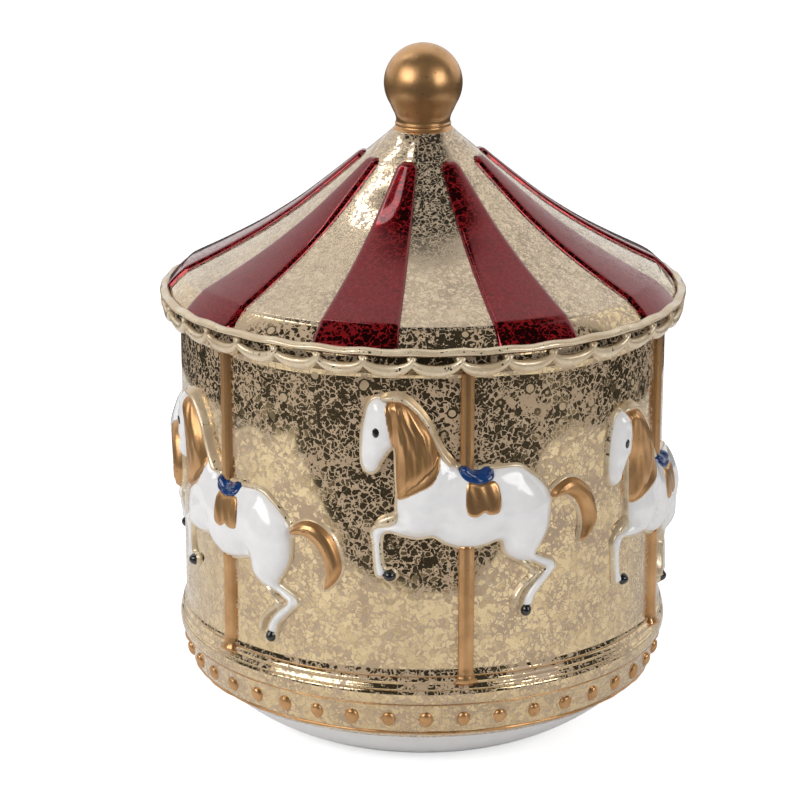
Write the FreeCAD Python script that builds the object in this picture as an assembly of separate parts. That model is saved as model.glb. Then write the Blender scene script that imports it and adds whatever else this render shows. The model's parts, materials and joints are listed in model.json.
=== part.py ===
import FreeCAD, Part
import math
import os
from FreeCAD import Vector

# Wind-up music box in the shape of a carousel. Millimetres, +Z up, the front towards -Y.
# The origin is the centre of the circle that the foot pads stand on.

# Glass carousel: wall and ornament
wall_radius = 69.2
glass_thickness = 2.4
eave_overhang = 4.4
eave_height = 126.3
roof_rise = 43.7
roof_top_radius = 8.6
wall_foot_height = 36.0
wall_head_height = 112.7
band_swell = 1.8
glass_bottom_height = 12.7
bottom_undercut = 4.7
stripe_count = 9
stripe_relief = 0.9
stripe_angle = 19.0
first_stripe = 25.0
stripe_tip_radius = 18.0
rope_radius = 0.75
valance_depth = 6.2
valance_relief = 1.1
scallop_count = 36
first_scallop = 2.3
bead_count = 42
bead_radius = 2.15
bead_height = 19.7
bead_relief = 1.3
finial_radius = 11.1
finial_neck_radius = 7.4
finial_neck_length = 5.0
glue_gap = 0.05

# Horses and poles
horse_count = 6
first_pole_angle = 9.4
horse_relief = 5.0
horse_base_height = 69.4
low_horse_drop = 10.8
pole_radius = 2.0
pole_foot_height = 36.4
pole_head_height = 112.4

# Turntable that the glass stands on
carrier_wall = 1.8
carrier_flange_setback = 4.5
carrier_flange_thickness = 1.5
carrier_inner_height = 47.0
carrier_top_thickness = 2.0
carrier_boss_radius = 5.0
carrier_boss_length = 7.0
carrier_glue_gap = 0.4
movement_clearance = 1.8

# Foot
foot_bottom_radius = 47.0
foot_lip_width = 2.4
foot_rim_width = 6.0
foot_wall = 2.2
foot_deck_drop = 0.8
foot_to_glass_gap = 0.5
pad_count = 4
pad_radius = 2.4
pad_proud = 0.4
pad_recess = 0.8
pedestal_radius = 31.0
pedestal_top_height = 20.0
key_hole_radius = 4.2

# Winding key and arbor
key_width = 26.0
key_height = 11.0
key_thickness = 1.6
key_hub_radius = 3.4
key_hub_length = 9.0
key_ground_clearance = 2.0
arbor_thread_radius = 2.0
arbor_hub_radius = 2.4
running_clearance = 0.05

# Movement
plate_thickness = 2.4
plate_back = 16.0
plate_margin = 1.0
plate_corner_radius = 8.0
housing_radius = 12.4
housing_wall = 1.0
housing_length = 15.0
lid_thickness = 0.8
spring_turns = 8
spring_strip = 0.35
spring_width = 12.0
cylinder_axis_lift = 9.3
cylinder_start = 19.2
cylinder_length = 15.0
cylinder_radius = 6.5
pin_height = 0.7
pin_radius = 0.22
note_count = 18
pins_per_note = 5
arbor_radius = 0.9
bracket_thickness = 1.2
outer_tab_y = 12.6
tip_gap = 0.1
comb_thickness = 0.9
comb_tooth_length = 7.7
comb_base_width = 5.0
comb_tooth_share = 0.72
crown_teeth = 32
cylinder_teeth = 16
crown_module = 1.0
crown_face = 2.8
crown_disc_thickness = 1.8
cylinder_gear_width = 2.2
pinion_teeth = 8
wheel_teeth = 16
fine_module = 0.5
fine_gear_width = 1.6
wheel_width = 1.2
wheel_setback = 5.0
wheel_to_cylinder = 0.3
worm_pitch_radius = 1.3
worm_depth = 0.4
worm_turns = 4.5
worm_shaft_radius = 0.6
worm_clearance = 0.08
fan_radius = 4.2
fan_height = 3.2
fan_blade = 0.4
frame_setback = 6.4
frame_height = 19.0
screw_radius = 1.25
screw_head_radius = 2.4
screw_head_height = 1.4

# Sizes and places that follow from the ones above
eave_radius = wall_radius + eave_overhang
glass_bottom_radius = wall_radius - bottom_undercut
carrier_flange_radius = glass_bottom_radius - carrier_flange_setback
roof_top_height = eave_height + roof_rise
foot_top_height = glass_bottom_height - foot_to_glass_gap
flange_bottom = glass_bottom_height - carrier_flange_thickness
deck_height = flange_bottom - foot_deck_drop
plate_top = pedestal_top_height + plate_thickness
cylinder_axis = plate_top + cylinder_axis_lift
crown_pitch_radius = crown_teeth * crown_module / 2
cylinder_pitch_radius = cylinder_teeth * crown_module / 2
crown_pitch_height = cylinder_axis + cylinder_pitch_radius
crown_tip_height = crown_pitch_height - 0.9 * crown_module
crown_root_height = crown_pitch_height + 1.2 * crown_module
crown_top_height = crown_root_height + crown_disc_thickness
housing_top = plate_top + housing_length
lid_top = housing_top + lid_thickness
pinion_pitch_radius = pinion_teeth * fine_module / 2
wheel_pitch_radius = wheel_teeth * fine_module / 2
wheel_tip_radius = wheel_pitch_radius + 0.9 * fine_module
wheel_room = cylinder_radius + pin_height + wheel_to_cylinder + wheel_tip_radius
output_teeth = 4 * math.ceil((2 * wheel_room / fine_module - pinion_teeth) / 4)
output_pitch_radius = output_teeth * fine_module / 2
intermediate_y = output_pitch_radius + pinion_pitch_radius
governor_y = intermediate_y + wheel_pitch_radius + worm_pitch_radius + worm_clearance
output_gear_position = cylinder_start + cylinder_length + 0.6
outer_bracket_position = output_gear_position + fine_gear_width + 0.6
inner_bracket_position = cylinder_start - 0.4 - bracket_thickness
drive_gear_position = crown_pitch_radius - cylinder_gear_width / 2
wheel_position = output_gear_position - wheel_setback
frame_position = wheel_position - frame_setback
plate_front = outer_bracket_position + bracket_thickness + 1.3
comb_back = cylinder_radius + pin_height + tip_gap + comb_tooth_length + comb_base_width
plate_half_width = comb_back + plate_margin
tab_half_width = screw_head_radius + 0.2
outer_tab_front = outer_bracket_position + 0.6 + tab_half_width
movement_reach = math.hypot(outer_tab_front, outer_tab_y + tab_half_width)
cup_inside_radius = movement_reach + movement_clearance
mouth_radius = cup_inside_radius + carrier_wall + carrier_glue_gap
worm_pitch = math.pi * fine_module
frame_top = plate_top + frame_height
key_hub_top = pedestal_top_height - foot_wall - 1.0

axis_z = Vector(0, 0, 1)
axis_x = Vector(1, 0, 0)
axis_y = Vector(0, 1, 0)
centre = Vector(0, 0, 0)


def disc(radius, low, high, x=0, y=0):
    return Part.makeCylinder(radius, high - low, Vector(x, y, low))


def tube(radius, bore, low, high, x=0, y=0):
    return disc(radius, low, high, x, y).cut(disc(bore, low - 1, high + 1, x, y))


def rod_x(radius, start, end, y=0, z=0):
    return Part.makeCylinder(radius, end - start, Vector(start, y, z), axis_x)


def box(x0, x1, y0, y1, z0, z1):
    return Part.makeBox(x1 - x0, y1 - y0, z1 - z0, Vector(x0, y0, z0))


def section_point(radius, height):
    return Vector(radius, 0, height)


def polyline(points):
    return [Part.LineSegment(a, b).toShape() for a, b in zip(points, points[1:])]


def curve(points, closed=False):
    line = Part.BSplineCurve()
    line.interpolate(points, PeriodicFlag=closed)
    return line.toShape()


def revolved(edges, angle=360):
    return Part.Face(Part.Wire(edges)).revolve(centre, axis_z, angle)


def turned(shape, angle):
    copy = shape.copy()
    copy.rotate(centre, axis_z, angle)
    return copy


def laid_along_x(shape, x, y, z):
    """Turns a wheel made flat on the origin so that its axis runs along X from x."""
    copy = shape.copy()
    copy.rotate(centre, axis_y, 90)
    copy.translate(Vector(x, y, z))
    return copy


def group(shapes):
    solids = []
    for shape in shapes:
        solids += shape.Solids
    return Part.makeCompound(solids)


def save(name, shape):
    clean = shape.removeSplitter() if len(shape.Solids) == 1 else shape
    clean.exportStep("parts/" + name + ".step")


def moved_along_normals(points, distance):
    """Moves an outline of the section inwards, towards the axis and down from the roof."""
    moved = []
    for number, point in enumerate(points):
        before = points[max(number - 1, 0)]
        after = points[min(number + 1, len(points) - 1)]
        along = (after - before).normalize()
        moved.append(point + Vector(along.z, 0, -along.x) * distance)
    return moved


def roof_points():
    """The roof in section: steep at the top, flatter at the eave, as hanging cloth."""
    shares = [0.0, 0.14, 0.29, 0.45, 0.61, 0.76, 0.89, 1.0]
    span = eave_radius - roof_top_radius
    return [section_point(roof_top_radius + span * share,
                          roof_top_height - roof_rise * (1.3 * share - 0.3 * share ** 2.1))
            for share in shares]


def band_points():
    low = glass_bottom_height
    return [section_point(wall_radius, wall_foot_height),
            section_point(wall_radius + 0.9, wall_foot_height - 4.0),
            section_point(wall_radius + band_swell, wall_foot_height - 7.8),
            section_point(wall_radius + 1.0, wall_foot_height - 11.8),
            section_point(wall_radius - 0.5, low + 6.5),
            section_point(wall_radius - 1.4, low + 3.3),
            section_point(glass_bottom_radius, low)]


def glass_section(inset):
    """Edges of the glass's skin from the roof's top to the mouth, moved in by inset."""
    roof = moved_along_normals(roof_points(), inset)
    roof[0] = section_point(roof_top_radius, roof_top_height - inset)
    lower_eave = section_point(eave_radius - inset, eave_height - 1.2 - inset / 2)
    head = section_point(wall_radius - inset, wall_head_height)
    band = moved_along_normals(band_points(), inset)
    band[0] = section_point(wall_radius - inset, wall_foot_height)
    band[-1] = section_point(glass_bottom_radius - inset / 2, glass_bottom_height + inset)
    mouth = section_point(mouth_radius, glass_bottom_height + inset)
    top = section_point(0, roof_top_height - inset)
    edges = polyline([top, roof[0]])
    edges.append(curve(roof))
    edges += polyline([roof[-1], lower_eave, head, band[0]])
    edges.append(curve(band))
    edges += polyline([band[-1], mouth])
    return edges, top, mouth


def filled_glass():
    """The glass's outer skin filled to the axis, for cutting ornament to its surface."""
    edges, top, mouth = glass_section(0)
    bottom = section_point(0, glass_bottom_height)
    return revolved(edges + polyline([mouth, bottom, top]))


def glass_body():
    outer, outer_top, outer_mouth = glass_section(0)
    inner, inner_top, inner_mouth = glass_section(glass_thickness)
    closing = polyline([outer_mouth, inner_mouth]) + polyline([inner_top, outer_top])
    return revolved(outer + closing + inner)


def finial():
    """Ball and flared neck as one turned shape on the roof's flat top."""
    base = roof_top_height
    shoulder = base + 2.4
    ball_centre = shoulder + finial_neck_length * 0.35 + finial_radius * 0.8
    half_neck = math.asin(finial_neck_radius / finial_radius)
    neck_end = ball_centre - finial_radius * math.cos(half_neck)
    edges = polyline([section_point(0, ball_centre + finial_radius), section_point(0, base),
                      section_point(roof_top_radius, base)])
    edges.append(curve([section_point(roof_top_radius, base),
                        section_point(finial_neck_radius + 0.3, base + 1.2),
                        section_point(finial_neck_radius, shoulder)]))
    edges += polyline([section_point(finial_neck_radius, shoulder),
                       section_point(finial_neck_radius, neck_end)])
    edges.append(Part.Arc(section_point(finial_neck_radius, neck_end),
                          section_point(finial_radius, ball_centre),
                          section_point(0, ball_centre + finial_radius)).toShape())
    return revolved(edges)


def roof_stripes():
    """Raised red panels, evenly spread, from near the finial to the eave."""
    roof = [point for point in roof_points() if point.x >= stripe_tip_radius - 4]
    low = moved_along_normals(roof, -glue_gap)
    high = moved_along_normals(roof, -stripe_relief)
    edges = [curve(low)] + polyline([low[-1], high[-1]]) + [curve(high)]
    edges += polyline([high[0], low[0]])
    stripe = turned(revolved(edges, stripe_angle), -90 - stripe_angle / 2)
    step = 360.0 / stripe_count
    return group([turned(stripe, first_stripe + step * number) for number in range(stripe_count)])


def valance_trim():
    """Rope moulding under the eave with a scalloped skirt below it."""
    rope_height = eave_height - 1.7
    lower_eave = section_point(eave_radius, eave_height - 1.2)
    head = section_point(wall_radius, wall_head_height)
    slope = (head - lower_eave).normalize()
    out = Vector(-slope.z, 0, slope.x)
    start = lower_eave + out * glue_gap
    end = start + slope * valance_depth
    skirt = revolved(polyline([start, end, end + out * valance_relief, start + out * valance_relief,
                               start]))
    rope = Part.makeTorus(eave_radius + rope_radius, rope_radius, Vector(0, 0, rope_height))
    skirt = skirt.fuse(rope)
    notch_radius = math.pi * wall_radius / scallop_count * 0.5
    notch_height = end.z + 0.2
    step = 360.0 / scallop_count
    notches = []
    for number in range(scallop_count):
        notch = Part.makeCylinder(notch_radius, 16, Vector(0, -eave_radius - 6, notch_height), axis_y)
        notches.append(turned(notch, first_scallop + step * (number + 0.5)))
    return skirt.cut(Part.makeCompound(notches)).cut(filled_glass())


def bead_ring():
    middle = wall_radius - 0.6 + bead_relief - bead_radius
    start = math.radians(-55)
    place = Vector(middle * math.cos(start), middle * math.sin(start), bead_height)
    bead = Part.makeSphere(bead_radius, place).cut(filled_glass())
    step = 360.0 / bead_count
    return group([turned(bead, step * number - 35) for number in range(bead_count)])


def flat_outline(points):
    """Puts an outline measured along the wall and up from the belly into a flat face."""
    middle = wall_radius + horse_relief / 2
    places = []
    for along, up in points:
        places.append(Vector(middle * math.sin(along / middle), 0, horse_base_height + up))
    return places


def horse(drop):
    """A galloping horse in relief that faces left, with its pole at the middle; every second is lower."""
    trunk = flat_outline([(-29.2, 24.0), (-28.9, 34.5), (-25.4, 42.6), (-19.6, 42.2), (-12.0, 37.2),
                          (-7.4, 28.6), (-2.0, 23.0), (7.0, 22.2), (15.0, 21.8), (22.4, 16.8),
                          (25.2, 9.4), (22.4, 0.4), (15.0, -3.2), (9.6, 1.6), (1.0, 0.0),
                          (-8.0, 2.6), (-19.0, 4.6), (-19.6, 15.0), (-21.6, 28.4), (-25.4, 22.4)])
    tail = flat_outline([(24.0, 11.0), (28.0, 15.6), (33.0, 16.5), (38.5, 12.4), (41.0, 4.6),
                         (39.2, -0.2), (35.4, -2.4), (36.2, 3.6), (33.4, 9.8), (28.4, 11.8)])
    hind_leg = flat_outline([(12.0, 0.0), (20.5, -3.4), (27.3, -7.8), (20.8, -15.0), (19.6, -20.8),
                             (15.6, -20.8), (16.6, -14.6), (22.4, -8.2), (13.0, -4.6), (12.0, 0.0)])
    fore_leg = flat_outline([(-17.0, 8.2), (-26.6, 5.6), (-26.0, -7.4), (-23.2, -10.0),
                             (-19.2, -9.6), (-19.2, -5.6), (-23.4, -5.4), (-24.0, 3.6),
                             (-16.0, 4.2), (-17.0, 8.2)])
    reach = Vector(0, -eave_radius - horse_relief, 0)
    faces = [Part.Face(Part.Wire([curve(trunk, True)])), Part.Face(Part.Wire([curve(tail, True)])),
             Part.Face(Part.makePolygon(hind_leg)), Part.Face(Part.makePolygon(fore_leg))]
    block = faces[0].extrude(reach)
    for face in faces[1:]:
        block = block.fuse(face.extrude(reach))
    skin = tube(wall_radius + horse_relief, wall_radius + glue_gap, wall_foot_height,
                wall_head_height + 4)
    rider = block.common(skin)
    rider.translate(Vector(0, 0, -drop))
    return rider


def pole(rider):
    """Half-round pole on the wall, broken where the horse covers it."""
    axis_radius = wall_radius + 0.6
    bar = disc(pole_radius, pole_foot_height, pole_head_height, 0, -axis_radius)
    return bar.cut(disc(wall_radius + glue_gap, 0, roof_top_height)).cut(rider)


def carrier():
    """Inverted cup over the movement: its flange is glued under the glass."""
    cup_radius = mouth_radius - carrier_glue_gap
    top = carrier_inner_height + carrier_top_thickness
    body = disc(cup_radius, flange_bottom, top)
    body = body.fuse(disc(carrier_flange_radius, flange_bottom, glass_bottom_height))
    body = body.cut(disc(cup_inside_radius, flange_bottom - 1, carrier_inner_height))
    body = body.fuse(disc(carrier_boss_radius, carrier_inner_height - 1.5,
                          carrier_inner_height - 1.5 + carrier_boss_length))
    bore_end = carrier_inner_height - 1.5 + carrier_boss_length - 1.5
    return body.cut(disc(arbor_thread_radius, carrier_inner_height - 3, bore_end)), bore_end


def foot():
    """Dished plastic foot with a turntable recess and a raised pedestal for the movement."""
    lip_radius = carrier_flange_radius + 0.8 + foot_lip_width
    floor = pad_proud
    inner_lip = lip_radius - foot_lip_width
    under_deck = deck_height - foot_wall
    rim_inner = foot_bottom_radius - foot_rim_width
    top_under = pedestal_top_height - foot_wall
    outer = curve([section_point(foot_bottom_radius, floor),
                   section_point(foot_bottom_radius * 0.46 + lip_radius * 0.54, deck_height * 0.55),
                   section_point(lip_radius, foot_top_height)])
    edges = [outer] + polyline([section_point(lip_radius, foot_top_height),
                                section_point(inner_lip, foot_top_height),
                                section_point(inner_lip, deck_height),
                                section_point(pedestal_radius, deck_height),
                                section_point(pedestal_radius, pedestal_top_height),
                                section_point(key_hole_radius, pedestal_top_height),
                                section_point(key_hole_radius, top_under),
                                section_point(pedestal_radius - foot_wall, top_under),
                                section_point(pedestal_radius - foot_wall, under_deck),
                                section_point(rim_inner + 1.5, under_deck),
                                section_point(rim_inner, floor),
                                section_point(foot_bottom_radius, floor)])
    shape = revolved(edges)
    for x, y in movement_screw_places():
        shape = shape.cut(disc(screw_radius + 0.3, top_under - 1, pedestal_top_height + 1, x, y))
    for x, y in pad_places():
        shape = shape.cut(disc(pad_radius + 0.1, 0, floor + pad_recess, x, y))
    return shape


def pad_places():
    middle = foot_bottom_radius - foot_rim_width / 2
    angles = [math.radians(45 + 360.0 / pad_count * number) for number in range(pad_count)]
    return [(middle * math.cos(angle), middle * math.sin(angle)) for angle in angles]


def foot_pads():
    return group([disc(pad_radius, 0, pad_proud + pad_recess, x, y) for x, y in pad_places()])


def movement_screw_places():
    reach = (housing_radius + pedestal_radius - foot_wall) / 2
    return [(reach * math.cos(math.radians(angle)), reach * math.sin(math.radians(angle)))
            for angle in (60, 180, 300)]


def screw(x, y, seat, length, upward):
    """Pan-head screw whose head rests on seat; its shank points down, or up if upward."""
    side = 1 if upward else -1
    head_low = min(seat, seat - side * screw_head_height)
    shank_low = min(seat, seat + side * length)
    head = disc(screw_head_radius, head_low, head_low + screw_head_height, x, y)
    slot_low = head_low if upward else head_low + screw_head_height - 0.5
    slot = box(x - screw_head_radius, x + screw_head_radius, y - 0.3, y + 0.3, slot_low,
               slot_low + 0.5)
    return head.cut(slot).fuse(disc(screw_radius, shank_low, shank_low + length, x, y))


def movement_screws():
    seat = pedestal_top_height - foot_wall
    return group([screw(x, y, seat, foot_wall + plate_thickness - 0.4, True)
                  for x, y in movement_screw_places()])


def comb_place():
    """X span of the comb, the line of its tips and the back of its base, in that order."""
    tips = -(cylinder_radius + pin_height + tip_gap)
    return cylinder_start, cylinder_start + cylinder_length, tips, tips - comb_tooth_length


def comb_screw_places():
    start, end, tips, roots = comb_place()
    middle = roots - comb_base_width / 2
    return [(start + 3.2, middle), (end - 3.2, middle)]


def rounded_plate():
    x0 = -plate_back
    x1 = plate_front
    width = plate_half_width
    blank = box(x0, x1, -width, width, pedestal_top_height, plate_top)
    uprights = [edge for edge in blank.Edges
                if abs(edge.Vertexes[0].Z - edge.Vertexes[1].Z) > plate_thickness / 2]
    return blank.makeFillet(plate_corner_radius, uprights)


def bedplate():
    """Cast plate with the comb's raised seat and a window for the large gear."""
    start, end, tips, roots = comb_place()
    seat_top = cylinder_axis - comb_thickness / 2
    seat_back = roots - comb_base_width
    plate = rounded_plate()
    plate = plate.fuse(box(start, end, seat_back, roots, plate_top - 0.5, seat_top))
    plate = plate.cut(disc(arbor_hub_radius + running_clearance, 0, plate_top + 1))
    window = output_pitch_radius - 4.0
    plate = plate.cut(box(output_gear_position - 0.5, output_gear_position + fine_gear_width + 0.5,
                          -window, window, 0, plate_top + 1))
    for x, y in movement_screw_places():
        plate = plate.cut(disc(screw_radius, 0, plate_top + 1, x, y))
    for x, y in comb_screw_places():
        plate = plate.cut(disc(screw_radius, seat_top - 4, seat_top + 1, x, y))
    for x, y in bracket_screw_places():
        plate = plate.cut(disc(screw_radius, 0, plate_top + 1, x, y))
    return plate.cut(disc(worm_shaft_radius + running_clearance, 0, plate_top + 1,
                          wheel_position, governor_y))


def bracket_screw_places():
    """Screw for the inner bracket, then the outer bracket, then the governor frame."""
    return [(inner_bracket_position - 2.6, -10.0), (outer_bracket_position + 0.6, -outer_tab_y),
            (frame_position - 3.0, governor_y - 1.0)]


def spring_housing():
    cup = disc(housing_radius, plate_top, housing_top)
    cup = cup.cut(disc(housing_radius - housing_wall, plate_top + housing_wall, housing_top + 1))
    return cup.cut(disc(arbor_hub_radius + running_clearance, 0, housing_top))


def housing_lid():
    bore = arbor_hub_radius + running_clearance
    lid = tube(housing_radius, bore, housing_top, lid_top)
    return lid.fuse(tube(housing_radius - housing_wall - 0.1, housing_radius - housing_wall - 1.0,
                         housing_top - 0.8, housing_top))


def mainspring():
    """Flat strip coiled from the arbor out to the housing's wall, drawn as joined half circles."""
    first = arbor_hub_radius + 0.6
    last = housing_radius - housing_wall - 0.3
    pitch = (last - first - spring_strip) / spring_turns
    low = plate_top + housing_wall + 0.6
    inner = []
    outer = []
    middle = 0.0
    radius = first
    for number in range(2 * spring_turns):
        side = 1 if number % 2 == 0 else -1
        for line, reach in ((inner, radius), (outer, radius + spring_strip)):
            line.append(Part.Arc(Vector(middle + side * reach, 0, low),
                                 Vector(middle, side * reach, low),
                                 Vector(middle - side * reach, 0, low)).toShape())
        middle += side * pitch / 2
        radius += pitch / 2
    start = polyline([Vector(first, 0, low), Vector(first + spring_strip, 0, low)])
    tail = middle + radius
    end = polyline([Vector(tail, 0, low), Vector(tail + spring_strip, 0, low)])
    outline = Part.Wire(Part.__sortEdges__(start + outer + end + inner))
    return Part.Face(outline).extrude(Vector(0, 0, spring_width))


def winding_arbor():
    """Threaded key end, hub inside the spring, and a journal inside the clutch sleeve."""
    lower = disc(arbor_thread_radius, key_hub_top - key_hub_length + 1.0, pedestal_top_height)
    hub = disc(arbor_hub_radius, pedestal_top_height, crown_root_height - 0.3)
    return lower.fuse(hub)


def clutch_sleeve():
    """One-way clutch ring: the arbor winds freely in it and drives it as the spring unwinds."""
    return tube(arbor_hub_radius + 1.4, arbor_hub_radius + running_clearance, lid_top + 0.5,
                crown_root_height - 0.2)


def winding_key():
    """Butterfly key: two rounded wings on a threaded hub."""
    low = key_ground_clearance
    wing_radius = key_height / 2
    reach = key_width / 2 - wing_radius
    blade = box(-reach, reach, -key_thickness / 2, key_thickness / 2, low, low + key_height)
    for side in (-1, 1):
        start = Vector(side * reach, -key_thickness / 2, low + wing_radius)
        blade = blade.fuse(Part.makeCylinder(wing_radius, key_thickness, start, axis_y))
        hole = Part.makeCylinder(wing_radius * 0.45, key_thickness + 2,
                                 Vector(side * reach, -key_thickness / 2 - 1, low + wing_radius),
                                 axis_y)
        blade = blade.cut(hole)
    hub = disc(key_hub_radius, key_hub_top - key_hub_length, key_hub_top)
    bore = disc(arbor_thread_radius, key_hub_top - key_hub_length + 1.0, key_hub_top + 1)
    return blade.fuse(hub).cut(bore)


def gear(teeth, module, width, phase=0.0):
    """Spur gear flat on the origin, teeth straight-sided and slim enough to run free."""
    pitch_radius = teeth * module / 2
    tip = pitch_radius + 0.9 * module
    root = pitch_radius - 1.15 * module
    quarter = math.pi * module / 4
    spans = [(root, quarter * 1.25), (pitch_radius, quarter * 0.78), (tip, quarter * 0.34)]
    points = []
    for number in range(teeth):
        angle = 2 * math.pi * (number + phase) / teeth
        outward = [(radius, angle - half / radius) for radius, half in spans]
        inward = [(radius, angle + half / radius) for radius, half in reversed(spans)]
        for radius, turn in outward + inward:
            points.append(Vector(radius * math.cos(turn), radius * math.sin(turn), 0))
    points.append(points[0])
    return Part.Face(Part.makePolygon(points)).extrude(Vector(0, 0, width))


def drive_gear():
    """Crown gear: a disc with radial teeth on its underside and a hub for the output shaft."""
    inner = crown_pitch_radius - crown_face / 2
    outer = crown_pitch_radius + crown_face / 2
    quarter = math.pi * crown_module / 4
    tip = quarter * 0.36
    base = quarter * 1.1
    profile = [Vector(inner, -base, crown_root_height + 0.2), Vector(inner, -base, crown_root_height),
               Vector(inner, -tip, crown_tip_height), Vector(inner, tip, crown_tip_height),
               Vector(inner, base, crown_root_height), Vector(inner, base, crown_root_height + 0.2)]
    tooth = Part.Face(Part.makePolygon(profile + [profile[0]])).extrude(Vector(crown_face, 0, 0))
    teeth = [turned(tooth, 360.0 / crown_teeth * (number + 0.5)) for number in range(crown_teeth)]
    wheel = disc(outer, crown_root_height, crown_top_height)
    wheel = wheel.multiFuse(teeth).common(disc(outer, crown_tip_height, crown_top_height))
    return wheel.cut(disc(arbor_thread_radius, crown_root_height + 0.6, crown_top_height + 1))


def output_shaft(end):
    return disc(arbor_thread_radius, crown_root_height + 0.6, end)


def music_cylinder():
    """Pinned cylinder: the raised pins are pressed out of the same sleeve."""
    start = cylinder_start
    end = cylinder_start + cylinder_length
    barrel = rod_x(cylinder_radius, start, end, 0, cylinder_axis)
    barrel = barrel.cut(rod_x(cylinder_radius - 0.8, start + 1, end - 1, 0, cylinder_axis))
    barrel = barrel.cut(rod_x(arbor_radius, start - 1, end + 1, 0, cylinder_axis))
    spacing = cylinder_length / note_count
    pins = []
    for note in range(note_count):
        for count in range(pins_per_note):
            angle = (note * 67 + count * (61 + 7 * (note % 3))) % 360
            pin = Part.makeCylinder(pin_radius, pin_height + 0.3,
                                    Vector(start + spacing * (note + 0.5), 0,
                                           cylinder_axis + cylinder_radius - 0.3))
            pin.rotate(Vector(0, 0, cylinder_axis), axis_x, angle)
            pins.append(pin)
    return barrel.multiFuse(pins)


def bored_gear(teeth, module, width, phase, bore):
    return gear(teeth, module, width, phase).cut(disc(bore, -1, width + 1))


def bearing_bracket(start, half_width, shafts, screw_place):
    """Upright plate with a bearing hole for each shaft, on a rail and a screwed tab."""
    low_y = min(y for y, radius in shafts) - half_width
    high_y = max(y for y, radius in shafts) + half_width
    x, y = screw_place
    end = start + bracket_thickness
    upright = box(start, end, low_y, high_y, plate_top, cylinder_axis + 3.2)
    rail = box(start, end, y + tab_half_width - 0.1, low_y, plate_top, plate_top + 2.4)
    tab = box(min(start, x - tab_half_width), max(end, x + tab_half_width), y - tab_half_width,
              y + tab_half_width, plate_top, plate_top + bracket_thickness)
    shape = upright.fuse(rail).fuse(tab)
    shape = shape.cut(disc(screw_radius + 0.2, 0, cylinder_axis, x, y))
    for shaft_y, radius in shafts:
        shape = shape.cut(rod_x(radius + running_clearance, start - 1, end + 1, shaft_y,
                                cylinder_axis))
    return shape


def inner_bracket():
    return bearing_bracket(inner_bracket_position, 3.0, [(0.0, arbor_radius)],
                           bracket_screw_places()[0])


def outer_bracket():
    return bearing_bracket(outer_bracket_position, 3.0,
                           [(0.0, arbor_radius), (intermediate_y, arbor_radius)],
                           bracket_screw_places()[1])


def bracket_screws():
    return group([screw(x, y, plate_top + bracket_thickness, bracket_thickness + 1.8, False)
                  for x, y in bracket_screw_places()])


def cylinder_arbor():
    return rod_x(arbor_radius, drive_gear_position - 0.6, outer_bracket_position + 1.6, 0,
                 cylinder_axis)


def music_comb():
    """Steel comb: its tuned teeth shorten from bass to treble."""
    start, end, tips, roots = comb_place()
    low = cylinder_axis - comb_thickness / 2
    high = cylinder_axis + comb_thickness / 2
    comb = box(start, end, roots - comb_base_width, roots, low, high)
    spacing = cylinder_length / note_count
    half = spacing * comb_tooth_share / 2
    for note in range(note_count):
        x = start + spacing * (note + 0.5)
        comb = comb.fuse(box(x - half, x + half, roots - 0.1, tips, low + 0.25, high - 0.25))
    for x, y in comb_screw_places():
        comb = comb.cut(disc(screw_radius + 0.1, low - 1, high + 1, x, y))
    return comb


def comb_screws():
    seat = cylinder_axis + comb_thickness / 2
    return group([screw(x, y, seat, comb_thickness + 3.0, False) for x, y in comb_screw_places()])


def intermediate_arbor():
    return rod_x(arbor_radius, frame_position - 0.4, outer_bracket_position + 1.6, intermediate_y,
                 cylinder_axis)


def governor_frame():
    """Bent plate: an upright for the wheel's arbor and an arm over the worm's top end."""
    x0 = frame_position
    x1 = frame_position + bracket_thickness
    screw_x, screw_y = bracket_screw_places()[2]
    upright = box(x0, x1, intermediate_y - 2.8, governor_y + 2.4, plate_top, frame_top)
    arm = box(x0, wheel_position + 2.4, governor_y - 2.4, governor_y + 2.4,
              frame_top - bracket_thickness, frame_top)
    tab = box(screw_x - tab_half_width, x1, screw_y - tab_half_width, screw_y + tab_half_width,
              plate_top, plate_top + bracket_thickness)
    shape = upright.fuse(arm).fuse(tab)
    shape = shape.cut(disc(screw_radius + 0.2, 0, cylinder_axis, screw_x, screw_y))
    shape = shape.cut(rod_x(arbor_radius + running_clearance, x0 - 1, x1 + 1, intermediate_y,
                            cylinder_axis))
    return shape.cut(disc(worm_shaft_radius + running_clearance, frame_top - 3, frame_top + 1,
                          wheel_position, governor_y))


def governor_worm():
    """Single-start right-hand worm on a slim spindle."""
    root = worm_pitch_radius - worm_depth
    tip = worm_pitch_radius + worm_depth
    length = worm_turns * worm_pitch
    low = cylinder_axis - length / 2
    path = Part.makeHelix(worm_pitch, length, root)
    profile = Part.makePolygon([Vector(root - 0.25, 0, -0.34), Vector(tip, 0, -0.16),
                                Vector(tip, 0, 0.16), Vector(root - 0.25, 0, 0.34),
                                Vector(root - 0.25, 0, -0.34)])
    thread = Part.Wire(path).makePipeShell([profile], True, True)
    thread.translate(Vector(wheel_position, governor_y, low))
    core = disc(root, low - 0.6, low + length + 0.6, wheel_position, governor_y)
    spindle = disc(worm_shaft_radius, pedestal_top_height + 0.6, frame_top + 0.4, wheel_position,
                   governor_y)
    return core.fuse(spindle).fuse(thread)


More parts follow.
